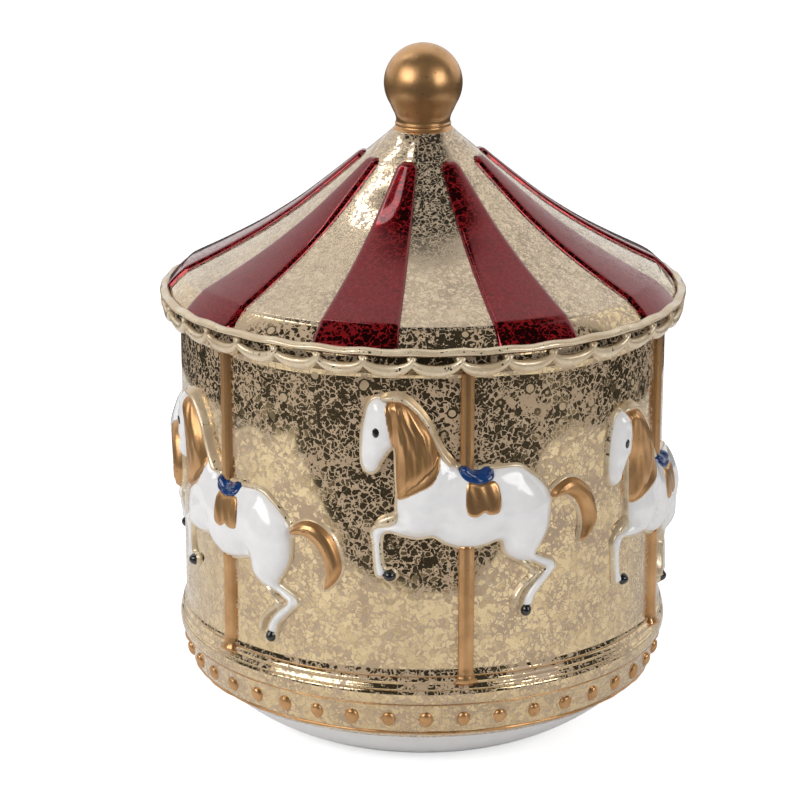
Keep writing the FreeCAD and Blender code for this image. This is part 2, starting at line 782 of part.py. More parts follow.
def air_brake_fan():
    """Two flat blades on a small hub above the worm."""
    low = cylinder_axis + worm_turns * worm_pitch / 2 + 0.8
    hub = disc(1.4, low, low + fan_height, wheel_position, governor_y)
    blades = box(wheel_position - fan_radius, wheel_position + fan_radius,
                 governor_y - fan_blade / 2, governor_y + fan_blade / 2, low, low + fan_height)
    return hub.fuse(blades).cut(disc(worm_shaft_radius, low - 1, low + fan_height + 1,
                                     wheel_position, governor_y))


def build():
    os.makedirs("parts", exist_ok=True)
    save("glass_body", glass_body())
    save("finial", finial())
    save("roof_stripes", roof_stripes())
    save("valance_trim", valance_trim())
    save("bead_ring", bead_ring())
    riders = [horse(0), horse(low_horse_drop)]
    bars = [pole(rider) for rider in riders]
    for number in range(horse_count):
        angle = first_pole_angle + 360.0 / horse_count * number
        save("horse_%d" % (number + 1), turned(riders[number % 2], angle))
        save("pole_%d" % (number + 1), turned(bars[number % 2], angle))
    cup, shaft_end = carrier()
    save("turntable_carrier", cup)
    save("output_shaft", output_shaft(shaft_end))
    save("drive_gear", drive_gear())
    save("clutch_sleeve", clutch_sleeve())
    save("foot", foot())
    save("foot_pads", foot_pads())
    save("movement_screws", movement_screws())
    save("bedplate", bedplate())
    save("spring_housing", spring_housing())
    save("housing_lid", housing_lid())
    save("mainspring", mainspring())
    save("winding_arbor", winding_arbor())
    save("winding_key", winding_key())
    save("inner_bracket", inner_bracket())
    save("outer_bracket", outer_bracket())
    save("bracket_screws", bracket_screws())
    save("music_comb", music_comb())
    save("comb_screws", comb_screws())
    save("music_cylinder", music_cylinder())
    save("cylinder_arbor", cylinder_arbor())
    save("cylinder_drive_gear", laid_along_x(
        bored_gear(cylinder_teeth, crown_module, cylinder_gear_width, 0, arbor_radius),
        drive_gear_position, 0, cylinder_axis))
    save("cylinder_output_gear", laid_along_x(
        bored_gear(output_teeth, fine_module, fine_gear_width, 0, arbor_radius),
        output_gear_position, 0, cylinder_axis))
    save("intermediate_arbor", intermediate_arbor())
    save("intermediate_pinion", laid_along_x(
        bored_gear(pinion_teeth, fine_module, fine_gear_width, 0.5, arbor_radius),
        output_gear_position, intermediate_y, cylinder_axis))
    save("worm_wheel", laid_along_x(
        bored_gear(wheel_teeth, fine_module, wheel_width, 0, arbor_radius),
        wheel_position - wheel_width / 2, intermediate_y, cylinder_axis))
    save("governor_frame", governor_frame())
    save("governor_worm", governor_worm())
    save("air_brake_fan", air_brake_fan())


build()
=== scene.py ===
import json
import math
import bmesh
import bpy
import numpy as np
from mathutils import Matrix, Vector


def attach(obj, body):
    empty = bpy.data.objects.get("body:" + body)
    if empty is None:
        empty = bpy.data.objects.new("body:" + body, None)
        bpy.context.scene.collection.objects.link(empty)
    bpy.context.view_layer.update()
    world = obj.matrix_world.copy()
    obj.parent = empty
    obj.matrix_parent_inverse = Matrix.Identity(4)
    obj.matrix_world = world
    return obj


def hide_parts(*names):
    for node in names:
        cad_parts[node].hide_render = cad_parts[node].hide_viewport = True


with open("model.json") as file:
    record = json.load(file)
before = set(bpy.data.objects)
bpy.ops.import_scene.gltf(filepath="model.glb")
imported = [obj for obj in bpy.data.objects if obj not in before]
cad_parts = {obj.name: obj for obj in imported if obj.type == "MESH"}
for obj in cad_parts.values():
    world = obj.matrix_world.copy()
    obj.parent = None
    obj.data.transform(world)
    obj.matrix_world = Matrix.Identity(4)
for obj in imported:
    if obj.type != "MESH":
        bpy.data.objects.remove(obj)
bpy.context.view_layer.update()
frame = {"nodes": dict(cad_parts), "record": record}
mm = 0.001
cadNodes = frame["nodes"]
print("stage: frame loaded,", len(cadNodes), "CAD nodes")


# ---- shader helpers ----

def addNode(tree, kind, inputs=(), **settings):
    node = tree.nodes.new(kind)
    for key, value in settings.items():
        setattr(node, key, value)
    for key, value in dict(inputs).items():
        if isinstance(value, bpy.types.NodeSocket):
            tree.links.new(value, node.inputs[key])
        else:
            node.inputs[key].default_value = value
    return node


def mathNode(tree, operation, first, second=0.0, clamp=False):
    return addNode(tree, "ShaderNodeMath", {0: first, 1: second}, operation=operation,
                   use_clamp=clamp).outputs[0]


def ramp(tree, value, low, high, outLow=0.0, outHigh=1.0):
    node = addNode(tree, "ShaderNodeMapRange", {"Value": value, "From Min": low, "From Max": high,
                                                "To Min": outLow, "To Max": outHigh},
                   interpolation_type="SMOOTHSTEP")
    return node.outputs["Result"]


def mixColor(tree, factor, first, second):
    node = addNode(tree, "ShaderNodeMix", data_type="RGBA", clamp_factor=True)
    sockets = [s for s in node.inputs if s.enabled]
    for socket, value in zip(sockets, (factor, first, second)):
        if isinstance(value, bpy.types.NodeSocket):
            tree.links.new(value, socket)
        elif socket.type == "RGBA":
            socket.default_value = (*value[:3], 1)
        else:
            socket.default_value = value
    return [s for s in node.outputs if s.enabled][0]


def startMaterial(name):
    material = bpy.data.materials.new(name)
    material.use_nodes = True
    tree = material.node_tree
    return material, tree, tree.nodes["Principled BSDF"]


def setShader(shader, **values):
    for label, value in values.items():
        shader.inputs[label.replace("_", " ")].default_value = value


# ---- camera, light and floor ----

studio = {
    "aimHeight": 0.0902,  # the camera looks at this height
    "aimSide": -0.0065,
    "distance": 0.795,
    "elevation": 16.7,
    "lens": 123.7,
    "skyFade": (0.1, 0.32, 0.04, 0.9),  # from the dark front to the bright back
    "skyColor": (1.0, 0.99, 0.98),
    "sunStrength": 0.5,
    "sunAngle": 62,
    "sunTilt": (24, -14),
    "floorColor": (0.93, 0.93, 0.935),
    "floorHalf": 14.0,
    "floorHeight": -0.0004,
    "floorGlow": 0.6,  # lifts the floor to white where the camera sees it
    "tableRadius": 0.37,  # past this lit table the mirror sees a dark room
    "tableFront": -0.215,
    "roomRadius": 9.0,
    "roomHeight": 0.0006,
    "roomColor": (0.014, 0.012, 0.010),
    "lampColor": (1, 0.985, 0.96),
    "lampAim": (0, 0, 0.11),
    "softboxes": {  # place, size and power
        "leftSoftbox": ((-0.66, -0.50, 0.56), (0.66, 0.46), 4.2),
        "rightSoftbox": ((0.70, -0.55, 0.48), (0.42, 0.46), 2.7),
    },
    "eaveLight": {"start": (-0.41, 0.26, 0.64), "end": (-0.146, -0.016, 0.812), "width": 0.025,
                  "aim": (0, 0, 0.12), "power": 0.14},
}


def addCamera():
    lift = math.radians(studio["elevation"])
    aim = Vector((studio["aimSide"], 0, studio["aimHeight"]))
    away = Vector((0, -math.cos(lift), math.sin(lift))) * studio["distance"]
    data = bpy.data.cameras.new("camera")
    data.lens = studio["lens"]
    data.sensor_width = 36
    data.clip_start = 0.01
    camera = bpy.data.objects.new("camera", data)
    camera.location = aim + away
    camera.rotation_euler = (math.radians(90) - lift, 0, 0)
    bpy.context.collection.objects.link(camera)
    bpy.context.scene.camera = camera


def areaLight(name, size, power):
    data = bpy.data.lights.new(name, "AREA")
    data.shape = "RECTANGLE"
    data.size, data.size_y = size
    data.energy = power
    light = bpy.data.objects.new(name, data)
    light.visible_camera = False
    bpy.context.collection.objects.link(light)
    return light


def addSoftbox(name, place, size, power):
    light = areaLight(name, size, power)
    light.data.color = studio["lampColor"]
    light.location = place
    toward = Vector(studio["lampAim"]) - Vector(place)
    light.rotation_euler = toward.to_track_quat("-Z", "Y").to_euler()


def addEaveLight():  # a long thin light that draws one bright line along the eave
    bar = studio["eaveLight"]
    start, end = Vector(bar["start"]), Vector(bar["end"])
    middle = (start + end) / 2
    along = (end - start).normalized()
    away = (middle - Vector(bar["aim"])).normalized()
    across = away.cross(along).normalized()
    light = areaLight("eaveLight", ((end - start).length, bar["width"]), bar["power"])
    turn = Matrix((along, across, along.cross(across))).transposed()
    light.matrix_world = Matrix.Translation(middle) @ turn.to_4x4()


def plainMaterial(name, color, roughness):
    material, tree, shader = startMaterial(name)
    setShader(shader, Base_Color=(*color, 1), Roughness=roughness)
    return material


def addStageMesh(name, points, faces, material):
    mesh = bpy.data.meshes.new(name)
    mesh.from_pydata(points, [], faces)
    mesh.materials.append(material)
    card = bpy.data.objects.new(name, mesh)
    bpy.context.collection.objects.link(card)
    return card


def addDarkRoom():  # a ring round the lit table, seen only in reflections
    points = []
    steps = 96
    for number in range(steps):
        angle = 2 * math.pi * number / steps
        x, y = math.sin(angle), -math.cos(angle)
        near = studio["tableRadius"]
        if y < 0:
            near = min(near, studio["tableFront"] / y)
        points += [(x * reach, y * reach, studio["roomHeight"])
                   for reach in (near, studio["roomRadius"])]
    faces = [[2 * n, 2 * n + 1, (2 * n + 3) % (2 * steps), (2 * n + 2) % (2 * steps)]
             for n in range(steps)]
    card = addStageMesh("darkRoomCard", points, faces,
                        plainMaterial("darkRoom", studio["roomColor"], 0.9))
    card.visible_camera = False
    card.visible_diffuse = False
    card.visible_shadow = False
    card.visible_transmission = False


def addSky():  # a white cove behind and above, a darker room in front
    world = bpy.data.worlds.new("sky")
    bpy.context.scene.world = world
    world.use_nodes = True
    tree = world.node_tree
    background = tree.nodes["Background"]
    background.inputs["Color"].default_value = (*studio["skyColor"], 1)
    way = addNode(tree, "ShaderNodeTexCoord").outputs["Generated"]
    ahead = addNode(tree, "ShaderNodeSeparateXYZ", {0: way}).outputs["Y"]
    fade = ramp(tree, ahead, *studio["skyFade"])
    seen = addNode(tree, "ShaderNodeLightPath").outputs["Is Camera Ray"]
    strength = addNode(tree, "ShaderNodeMix", {"Factor": seen, "A": fade, "B": 1.0})
    tree.links.new(strength.outputs["Result"], background.inputs["Strength"])


def addFloor():
    floor = plainMaterial("paleFloor", studio["floorColor"], 0.6)
    tree = floor.node_tree
    seen = addNode(tree, "ShaderNodeLightPath").outputs["Is Camera Ray"]
    shader = tree.nodes["Principled BSDF"]
    setShader(shader, Emission_Color=(1, 1, 1, 1))
    tree.links.new(mathNode(tree, "MULTIPLY", seen, studio["floorGlow"]),
                   shader.inputs["Emission Strength"])
    half, height = studio["floorHalf"], studio["floorHeight"]
    corners = [(-half, -half, height), (half, -half, height), (half, half, height),
               (-half, half, height)]
    addStageMesh("floor", corners, [(0, 1, 2, 3)], floor)


def addSun():
    data = bpy.data.lights.new("softSun", "SUN")
    data.energy = studio["sunStrength"]
    data.angle = math.radians(studio["sunAngle"])
    sun = bpy.data.objects.new("softSun", data)
    tiltX, tiltY = studio["sunTilt"]
    sun.rotation_euler = (math.radians(tiltX), math.radians(tiltY), 0)
    sun.visible_glossy = False  # the mirror sees only the softboxes and the sky
    bpy.context.collection.objects.link(sun)


def addStudio():
    addCamera()
    addFloor()
    addDarkRoom()
    addSky()
    addSun()
    for name, (place, size, power) in studio["softboxes"].items():
        addSoftbox(name, place, size, power)
    addEaveLight()
    bpy.context.scene.view_settings.view_transform = "Standard"


addStudio()
print("stage: studio")


# ---- shared effects ----

def noise(tree, place, scale, detail, roughness=0.5):
    return addNode(tree, "ShaderNodeTexNoise", {"Vector": place, "Scale": scale, "Detail": detail,
                                                "Roughness": roughness}).outputs


def voronoi(tree, place, scale, feature="F1"):
    return addNode(tree, "ShaderNodeTexVoronoi", {"Vector": place, "Scale": scale},
                   feature=feature).outputs


def newEffect(name, inputs, outputs):
    tree = bpy.data.node_groups.new(name, "ShaderNodeTree")
    for label, value in inputs.items():
        socket = tree.interface.new_socket(label, in_out="INPUT", socket_type="NodeSocketFloat")
        socket.default_value = value
    for label in outputs:
        tree.interface.new_socket(label, in_out="OUTPUT", socket_type="NodeSocketFloat")
    return tree, tree.nodes.new("NodeGroupInput"), tree.nodes.new("NodeGroupOutput")


silvering = {
    "warpScale": 520.0,
    "warp": 0.003,
    "fineScale": 900.0,
    "wideScale": 105.0,
    "rippleScale": 60.0,
    "net": 0.34,  # how strongly the net, the fine grain, the patches and the cells each count
    "fine": 0.78,
    "patches": 1.5,
    "cells": 0.22,
    "edge": 0.045,
    "bubbleScale": 210.0,
    "bubbleRadius": 0.3,
    "bubblesAbove": (0.096, 0.104),
}


def buildCrackle():  # the aged silvering: mirror blots in a matte net, with a few ring bubbles
    tree, given, put = newEffect("crackle", {"Cell Scale": 800.0, "Mirror Share": 0.6,
                                             "Patchiness": 1.0, "Bubbles": 0.0},
                                 ("Matte", "Patch", "Cell", "Ripple"))
    place = addNode(tree, "ShaderNodeTexCoord").outputs["Object"]
    stir = noise(tree, place, silvering["warpScale"], 2.0)["Color"]
    shift = addNode(tree, "ShaderNodeVectorMath", {0: stir, 1: (0.5, 0.5, 0.5)},
                    operation="SUBTRACT").outputs[0]
    small = addNode(tree, "ShaderNodeVectorMath", {0: shift, 3: silvering["warp"]},
                    operation="SCALE").outputs[0]
    bent = addNode(tree, "ShaderNodeVectorMath", {0: place, 1: small}, operation="ADD").outputs[0]
    cells = voronoi(tree, bent, given.outputs["Cell Scale"])["Color"]
    edges = voronoi(tree, bent, given.outputs["Cell Scale"], "DISTANCE_TO_EDGE")["Distance"]
    fine = noise(tree, place, silvering["fineScale"], 2.0, 0.55)["Fac"]
    wide = noise(tree, place, silvering["wideScale"], 5.0, 0.62)["Fac"]
    cellPick = addNode(tree, "ShaderNodeSeparateColor", {0: cells}).outputs[0]
    net = ramp(tree, edges, 0.16, 0.03)  # 1 on the lines of the net
    patches = mathNode(tree, "MULTIPLY", mathNode(tree, "SUBTRACT", wide, 0.5),
                       given.outputs["Patchiness"])
    value = mathNode(tree, "MULTIPLY", net, silvering["net"])
    for socket, share in ((fine, "fine"), (patches, "patches"), (cellPick, "cells")):
        value = mathNode(tree, "ADD", value,
                         mathNode(tree, "MULTIPLY", socket, silvering[share]))
    edge = silvering["edge"]
    matte = ramp(tree, mathNode(tree, "SUBTRACT", value, given.outputs["Mirror Share"]), -edge,
                 edge)
    bubbles = voronoi(tree, place, silvering["bubbleScale"])
    ring = mathNode(tree, "SUBTRACT", bubbles["Distance"], silvering["bubbleRadius"])
    ring = ramp(tree, mathNode(tree, "ABSOLUTE", ring), 0.07, 0.03)
    core = ramp(tree, bubbles["Distance"], 0.27, 0.22)
    chosen = addNode(tree, "ShaderNodeSeparateColor", {0: bubbles["Color"]}).outputs[1]
    height = addNode(tree, "ShaderNodeSeparateXYZ", {0: place}).outputs[2]
    few = mathNode(tree, "MULTIPLY", mathNode(tree, "GREATER_THAN", chosen, 0.6),
                   mathNode(tree, "MULTIPLY", given.outputs["Bubbles"],
                            ramp(tree, height, *silvering["bubblesAbove"])))
    ring = mathNode(tree, "MULTIPLY", ring, few)
    core = mathNode(tree, "MULTIPLY", core, mathNode(tree, "MULTIPLY", few, 0.7))
    matte = mathNode(tree, "MAXIMUM", mathNode(tree, "SUBTRACT", matte, ring), core, True)
    slow = noise(tree, place, silvering["rippleScale"], 1.0)["Fac"]
    for label, socket in (("Matte", matte), ("Patch", ramp(tree, wide, 0.35, 0.65)),
                          ("Cell", cellPick), ("Ripple", slow)):
        tree.links.new(socket, put.inputs[label])
    return tree


def buildPaintGrain():  # fine tooth and slow mottling of brushed or moulded finishes
    tree, given, put = newEffect("paintGrain", {"Grain Scale": 2600.0, "Mottle Scale": 160.0},
                                 ("Grain", "Mottle", "Speck"))
    place = addNode(tree, "ShaderNodeTexCoord").outputs["Object"]
    grain = noise(tree, place, given.outputs["Grain Scale"], 2.0)["Fac"]
    mottle = noise(tree, place, given.outputs["Mottle Scale"], 5.0)["Fac"]
    spots = noise(tree, place, 900.0, 3.0)["Fac"]
    tree.links.new(grain, put.inputs["Grain"])
    tree.links.new(ramp(tree, mottle, 0.3, 0.7), put.inputs["Mottle"])
    tree.links.new(ramp(tree, spots, 0.66, 0.72), put.inputs["Speck"])
    return tree


crackle = buildCrackle()
paintGrain = buildPaintGrain()


def useEffect(tree, effect, **inputs):
    node = addNode(tree, "ShaderNodeGroup", node_tree=effect)
    for label, value in inputs.items():
        node.inputs[label.replace("_", " ")].default_value = value
    return node.outputs


def bumpFrom(tree, shader, height, strength, distance):
    bump = addNode(tree, "ShaderNodeBump", {"Strength": strength, "Distance": distance,
                                            "Height": height})
    tree.links.new(bump.outputs["Normal"], shader.inputs["Normal"])


def silveredGlass(name, look):
    material, tree, shader = startMaterial(name)
    aged = useEffect(tree, crackle, Cell_Scale=look["cellScale"], Mirror_Share=look["mirrorShare"],
                     Patchiness=look["patchiness"], Bubbles=look["bubbles"])
    tone = mixColor(tree, aged["Cell"], look["mirror"], look["mirrorShade"])
    dull = mixColor(tree, aged["Patch"], look["veil"], look["veilShade"])
    tree.links.new(mixColor(tree, aged["Matte"], tone, dull), shader.inputs["Base Color"])
    tree.links.new(ramp(tree, aged["Matte"], 0, 1, 1.0, look["veilMetal"]),
                   shader.inputs["Metallic"])
    clear = ramp(tree, aged["Cell"], 0.3, 1.0, look["mirrorRough"], look["mirrorRough"] + 0.16)
    rough = mathNode(tree, "ADD", clear, mathNode(tree, "MULTIPLY", aged["Matte"],
                                                  look["veilRough"] - look["mirrorRough"]))
    tree.links.new(rough, shader.inputs["Roughness"])
    bumpFrom(tree, shader, aged["Ripple"], 0.3, look["ripple"])
    setShader(shader, Coat_Weight=look["coat"], Coat_Roughness=0.03,
              Specular_IOR_Level=look["gloss"])
    return material


mercuryLook = {
    "cellScale": 600.0, "mirrorShare": 0.70, "patchiness": 1.0, "bubbles": 1.0, "gloss": 0.5,
    "mirror": (0.83, 0.65, 0.38), "mirrorShade": (0.64, 0.47, 0.26),
    "veil": (0.60, 0.455, 0.315), "veilShade": (0.50, 0.365, 0.235),
    "veilMetal": 0.12, "mirrorRough": 0.06, "veilRough": 0.42, "ripple": 0.0008, "coat": 0.6,
}
roofLook = dict(mercuryLook, cellScale=820.0, mirrorShare=0.70, patchiness=0.35, bubbles=0.0,
                mirror=(0.74, 0.60, 0.42), mirrorShade=(0.58, 0.45, 0.30),
                veil=(0.53, 0.42, 0.30), veilShade=(0.44, 0.34, 0.235))
rubyLook = dict(mercuryLook, cellScale=560.0, mirrorShare=0.74, bubbles=0.0, patchiness=0.6,
                mirror=(0.19, 0.003, 0.007), mirrorShade=(0.15, 0.002, 0.005),
                veil=(0.25, 0.003, 0.006), veilShade=(0.18, 0.002, 0.004), veilMetal=0.1,
                mirrorRough=0.10, veilRough=0.3, coat=0.7, gloss=0.12)
valanceLook = dict(mercuryLook, cellScale=900.0, mirrorShare=0.34, patchiness=0.5, bubbles=0.0,
                   mirror=(0.92, 0.76, 0.50), mirrorShade=(0.80, 0.60, 0.34),
                   veil=(0.80, 0.67, 0.48), veilShade=(0.66, 0.51, 0.33), veilMetal=0.35,
                   veilRough=0.28)
# painted shade: the mercury glass in the scallop recesses and under the eave is made darker here, to
# stand for the shade and the dark reflections there
recessShadeLook = dict(mercuryLook, mirror=(0.30, 0.22, 0.12), mirrorShade=(0.14, 0.10, 0.05),
                  veil=(0.34, 0.25, 0.16), veilShade=(0.22, 0.16, 0.10), bubbles=0.0, coat=0.3)


def paintedFinish(name, look):
    material, tree, shader = startMaterial(name)
    grain = useEffect(tree, paintGrain, Grain_Scale=look.get("grainScale", 2600.0),
                      Mottle_Scale=look.get("mottleScale", 160.0))
    tone = mixColor(tree, grain["Mottle"], look["color"], look["shade"])
    if "speck" in look:
        tone = mixColor(tree, mathNode(tree, "MULTIPLY", grain["Speck"], look["speckAmount"]),
                        tone, look["speck"])
    tree.links.new(tone, shader.inputs["Base Color"])
    spread = look.get("roughSpread", 0.06)
    tree.links.new(ramp(tree, grain["Mottle"], 0, 1, look["rough"] - spread,
                        look["rough"] + spread), shader.inputs["Roughness"])
    bumpFrom(tree, shader, mathNode(tree, "ADD", grain["Grain"],
                                    mathNode(tree, "MULTIPLY", grain["Mottle"],
                                             look.get("mottleBump", 0.5))),
             look.get("bump", 0.2), look.get("bumpDepth", 0.00008))
    setShader(shader, Metallic=look.get("metal", 0.0), Coat_Weight=look.get("coat", 0.0),
              Coat_Roughness=look.get("coatRough", 0.1))
    return material


finishes = {
    "copperPaint": {"color": (0.68, 0.39, 0.18), "shade": (0.56, 0.31, 0.13), "rough": 0.34,
                    "metal": 0.85, "speck": (0.20, 0.10, 0.05), "speckAmount": 0.5, "bump": 0.35,
                    "grainScale": 3200.0, "coat": 0.15},
    "enamelWhite": {"color": (0.93, 0.93, 0.94), "shade": (0.88, 0.88, 0.90), "rough": 0.16,
                    "coat": 0.8, "coatRough": 0.05, "bump": 0.12, "mottleScale": 300.0,
                    "mottleBump": 1.5, "roughSpread": 0.04},
    "saddleBlue": {"color": (0.006, 0.05, 0.20), "shade": (0.003, 0.028, 0.13), "rough": 0.2,
                   "coat": 0.8, "coatRough": 0.06, "bump": 0.3, "mottleScale": 700.0,
                   "mottleBump": 3.0},
    "hoofBlack": {"color": (0.006, 0.006, 0.007), "shade": (0.012, 0.012, 0.013), "rough": 0.18,
                  "coat": 0.7, "coatRough": 0.06, "bump": 0.15},
    "footPlastic": {"color": (0.92, 0.92, 0.93), "shade": (0.88, 0.88, 0.89), "rough": 0.42,
                    "bump": 0.15, "grainScale": 1800.0},
    "steel": {"color": (0.56, 0.56, 0.57), "shade": (0.46, 0.46, 0.47), "rough": 0.28, "metal": 1.0,
              "grainScale": 1500.0, "bump": 0.2},
    "springSteel": {"color": (0.33, 0.35, 0.40), "shade": (0.25, 0.27, 0.33), "rough": 0.3,
                    "metal": 1.0, "bump": 0.2},
    "zinc": {"color": (0.47, 0.47, 0.46), "shade": (0.38, 0.38, 0.375), "rough": 0.46, "metal": 0.9,
             "grainScale": 1200.0, "bump": 0.5},
    "nickel": {"color": (0.74, 0.72, 0.68), "shade": (0.66, 0.64, 0.60), "rough": 0.16, "metal": 1.0,
               "bump": 0.08},
    "brass": {"color": (0.78, 0.56, 0.24), "shade": (0.66, 0.45, 0.17), "rough": 0.24, "metal": 1.0,
              "bump": 0.15},
    "nylon": {"color": (0.80, 0.78, 0.72), "shade": (0.74, 0.72, 0.66), "rough": 0.4, "bump": 0.2},
    "blackPlastic": {"color": (0.02, 0.02, 0.021), "shade": (0.03, 0.03, 0.032), "rough": 0.45,
                     "bump": 0.3},
    "clearRubber": {"color": (0.62, 0.62, 0.60), "shade": (0.55, 0.55, 0.53), "rough": 0.35,
                    "bump": 0.2},
}
materials = {name: paintedFinish(name, look) for name, look in finishes.items()}
for name, look in (("mercuryGlass", mercuryLook), ("roofGlass", roofLook),
                   ("rubyLacquer", rubyLook), ("valanceGlass", valanceLook),
                   ("recessPaintedShadeGlass", recessShadeLook)):
    materials[name] = silveredGlass(name, look)
print("stage: materials", len(materials))


# ---- mesh helpers ----

def addPiece(name, points, faces, materialNames, body, replaced=(), picks=None):
    mesh = bpy.data.meshes.new(name)
    mesh.from_pydata([tuple(p) for p in np.asarray(points) * mm], [], [tuple(f) for f in faces])
    for materialName in materialNames:
        mesh.materials.append(materials[materialName])
    if picks is not None:
        mesh.polygons.foreach_set("material_index", np.asarray(picks, np.int32))
    mesh.polygons.foreach_set("use_smooth", np.ones(len(mesh.polygons), bool))
    mesh.validate()
    mesh.update()
    piece = bpy.data.objects.new(name, mesh)
    bpy.context.collection.objects.link(piece)
    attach(piece, body)
    if replaced:
        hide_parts(*replaced)
    return piece


def softSpan(a, b, c, d, steps):  # points from b up to c on a smooth line through all four
    return [0.5 * (2 * b + (c - a) * t + (2 * a - 5 * b + 4 * c - d) * t ** 2
                   + (3 * b - a - 3 * c + d) * t ** 3)
            for t in np.linspace(0, 1, steps, endpoint=False)]


def softLine(points, steps):  # a smooth line through the points
    points = np.array(points, float)
    ends = np.vstack([2 * points[0] - points[1], points, 2 * points[-1] - points[-2]])
    line = []
    for number in range(len(points) - 1):
        line += softSpan(*ends[number:number + 4], steps)
    return np.array(line + [points[-1]])


def softLoop(points, steps):  # the same for a closed outline
    points = np.array(points, float)
    count = len(points)
    line = []
    for number in range(count):
        line += softSpan(*(points[(number + k) % count] for k in (-1, 0, 1, 2)), steps)
    return np.array(line)


def turnedShape(outline, steps):  # lathe: (radius, height) pairs around Z
    points = []
    rings = []
    for radius, height in outline:
        if radius < 1e-6:
            rings.append([len(points)] * steps)
            points.append((0, 0, height))
            continue
        rings.append(list(range(len(points), len(points) + steps)))
        for number in range(steps):
            angle = 2 * math.pi * number / steps
            points.append((radius * math.sin(angle), -radius * math.cos(angle), height))
    faces = []
    for low, high in zip(rings, rings[1:]):
        for number in range(steps):
            after = (number + 1) % steps
            corners = [low[number], high[number], high[after], low[after]]
            face = list(dict.fromkeys(corners))
            if len(face) > 2:
                faces.append(face)
    return np.array(points), faces


def ringFaces(rings, sides, closed=False):  # faces between rings of points that follow a path
    faces = []
    for number in range(rings if closed else rings - 1):
        after = (number + 1) % rings
        for corner in range(sides):
            beside = (corner + 1) % sides
            faces.append([number * sides + corner, after * sides + corner,
                          after * sides + beside, number * sides + beside])
    return faces


def bandAlong(path, wide, thick, sides=12, closed=False, lean=(0.94, -0.34)):
    count = len(path)  # an oval tube; lean is the way its thickness points, outward and up
    wide, thick = (np.broadcast_to(size, (count,)) for size in (wide, thick))
    ahead = np.roll(path, -1, 0) - np.roll(path, 1, 0) if closed else np.gradient(path, axis=0)
    ahead /= np.linalg.norm(ahead, axis=1)[:, None]
    outward = path * (1, 1, 0)
    outward /= np.linalg.norm(outward, axis=1)[:, None]
    outward = outward * lean[0] + np.array((0, 0, lean[1]))
    across = np.cross(ahead, outward)
    across /= np.linalg.norm(across, axis=1)[:, None]
    up = np.cross(across, ahead)
    turns = np.arange(sides) * 2 * math.pi / sides
    ring = (np.cos(turns)[None, :, None] * wide[:, None, None] * across[:, None, :]
            + np.sin(turns)[None, :, None] * thick[:, None, None] * up[:, None, :])
    faces = ringFaces(count, sides, closed)
    if not closed:
        first, last = range(sides), range((count - 1) * sides, count * sides)
        faces += [list(first), list(reversed(last))]
    return (path[:, None, :] + ring).reshape(-1, 3), faces


def gridFaces(rows, columns, start=0, flip=False):
    faces = []
    for row in range(rows - 1):
        for column in range(columns - 1):
            a = start + row * columns + column
            face = [a, a + 1, a + columns + 1, a + columns]
            faces.append(face[::-1] if flip else face)
    return faces


def gridBorder(rows, columns):  # the outer points of a grid, in order, as pairs
    border = ([column for column in range(columns)]
              + [row * columns + columns - 1 for row in range(1, rows)]
              + [(rows - 1) * columns + column for column in range(columns - 2, -1, -1)]
              + [row * columns for row in range(rows - 2, 0, -1)])
    return zip(border, border[1:] + border[:1])


def slab(front, back, flip=False):  # two grids of points, closed round their border
    rows, columns = front.shape[:2]
    start = rows * columns
    faces = gridFaces(rows, columns) + gridFaces(rows, columns, start, True)
    for here, there in gridBorder(rows, columns):
        faces.append([there, here, here + start, there + start])
    points = np.vstack([front.reshape(-1, 3), back.reshape(-1, 3)])
    return points, [face[::-1] for face in faces] if flip else faces


def joined(parts):
    points, faces, start = [], [], 0
    for partPoints, partFaces in parts:
        points.append(partPoints)
        faces += [[corner + start for corner in face] for face in partFaces]
        start += len(partPoints)
    return np.vstack(points), faces


def placeRound(theta, radius, height):  # theta in degrees, 0 at the front, growing to the right
    theta = np.radians(theta)
    return np.stack(np.broadcast_arrays(radius * np.sin(theta), -radius * np.cos(theta), height), -1)


# ---- glass body ----

glass = {
    "wallRadius": 69.2,
    "wall": 2.4,
    "mouthRadius": 47.0,
    "steps": 288,
    "roof": [(8.6, 170.0), (10.4, 168.3), (15, 164.4), (20, 160.2), (25, 156.1), (30, 152.1),
             (35, 148.3), (40, 144.9), (45, 141.7), (50, 138.8), (55, 136.1), (60, 133.5),
             (64, 131.5), (67.2, 129.9)],
    "fascia": [(67.6, 129.35), (68.3, 128.85), (69.3, 127.95), (70.4, 126.85), (71.4, 125.75),
               (72.2, 124.7), (72.9, 123.4), (73.2, 121.8)],
    "soffit": [(72.5, 120.0), (70.8, 118.9), (69.7, 117.9), (69.25, 116.6), (69.2, 114.5)],
    "moulding": [(69.2, 36.2), (69.25, 34.5), (69.5, 33.5), (69.7, 32.9), (69.35, 32.65),
                 (69.75, 32.3), (70.25, 31.7), (70.3, 31.2), (70.05, 30.7), (70.3, 30.2),
                 (70.75, 29.6), (70.75, 29.2), (70.45, 29.0), (70.8, 28.7), (71.05, 27.9),
                 (71.0, 26.4), (70.65, 25.2), (70.3, 24.8), (70.0, 24.6), (70.15, 24.3),
                 (69.5, 22.6), (68.95, 20.6), (68.5, 18.4), (68.0, 16.6), (67.5, 15.6),
                 (67.25, 15.3), (67.15, 15.0), (66.3, 14.1), (64.5, 12.75)],
}


def glassOutline():
    roof = softLine(glass["roof"], 6)
    fascia = softLine(glass["fascia"], 4)
    soffit = softLine(glass["soffit"], 3)
    wall = [(glass["wallRadius"], height) for height in np.linspace(112, 40, 26)]
    moulding = softLine(glass["moulding"], 3)
    return np.vstack([[(0.0, 170.0), (5.0, 170.0)], roof, fascia, soffit, wall, moulding])


outerOutline = glassOutline()
wallPart = outerOutline[outerOutline[:, 1] < 124.0][::-1]


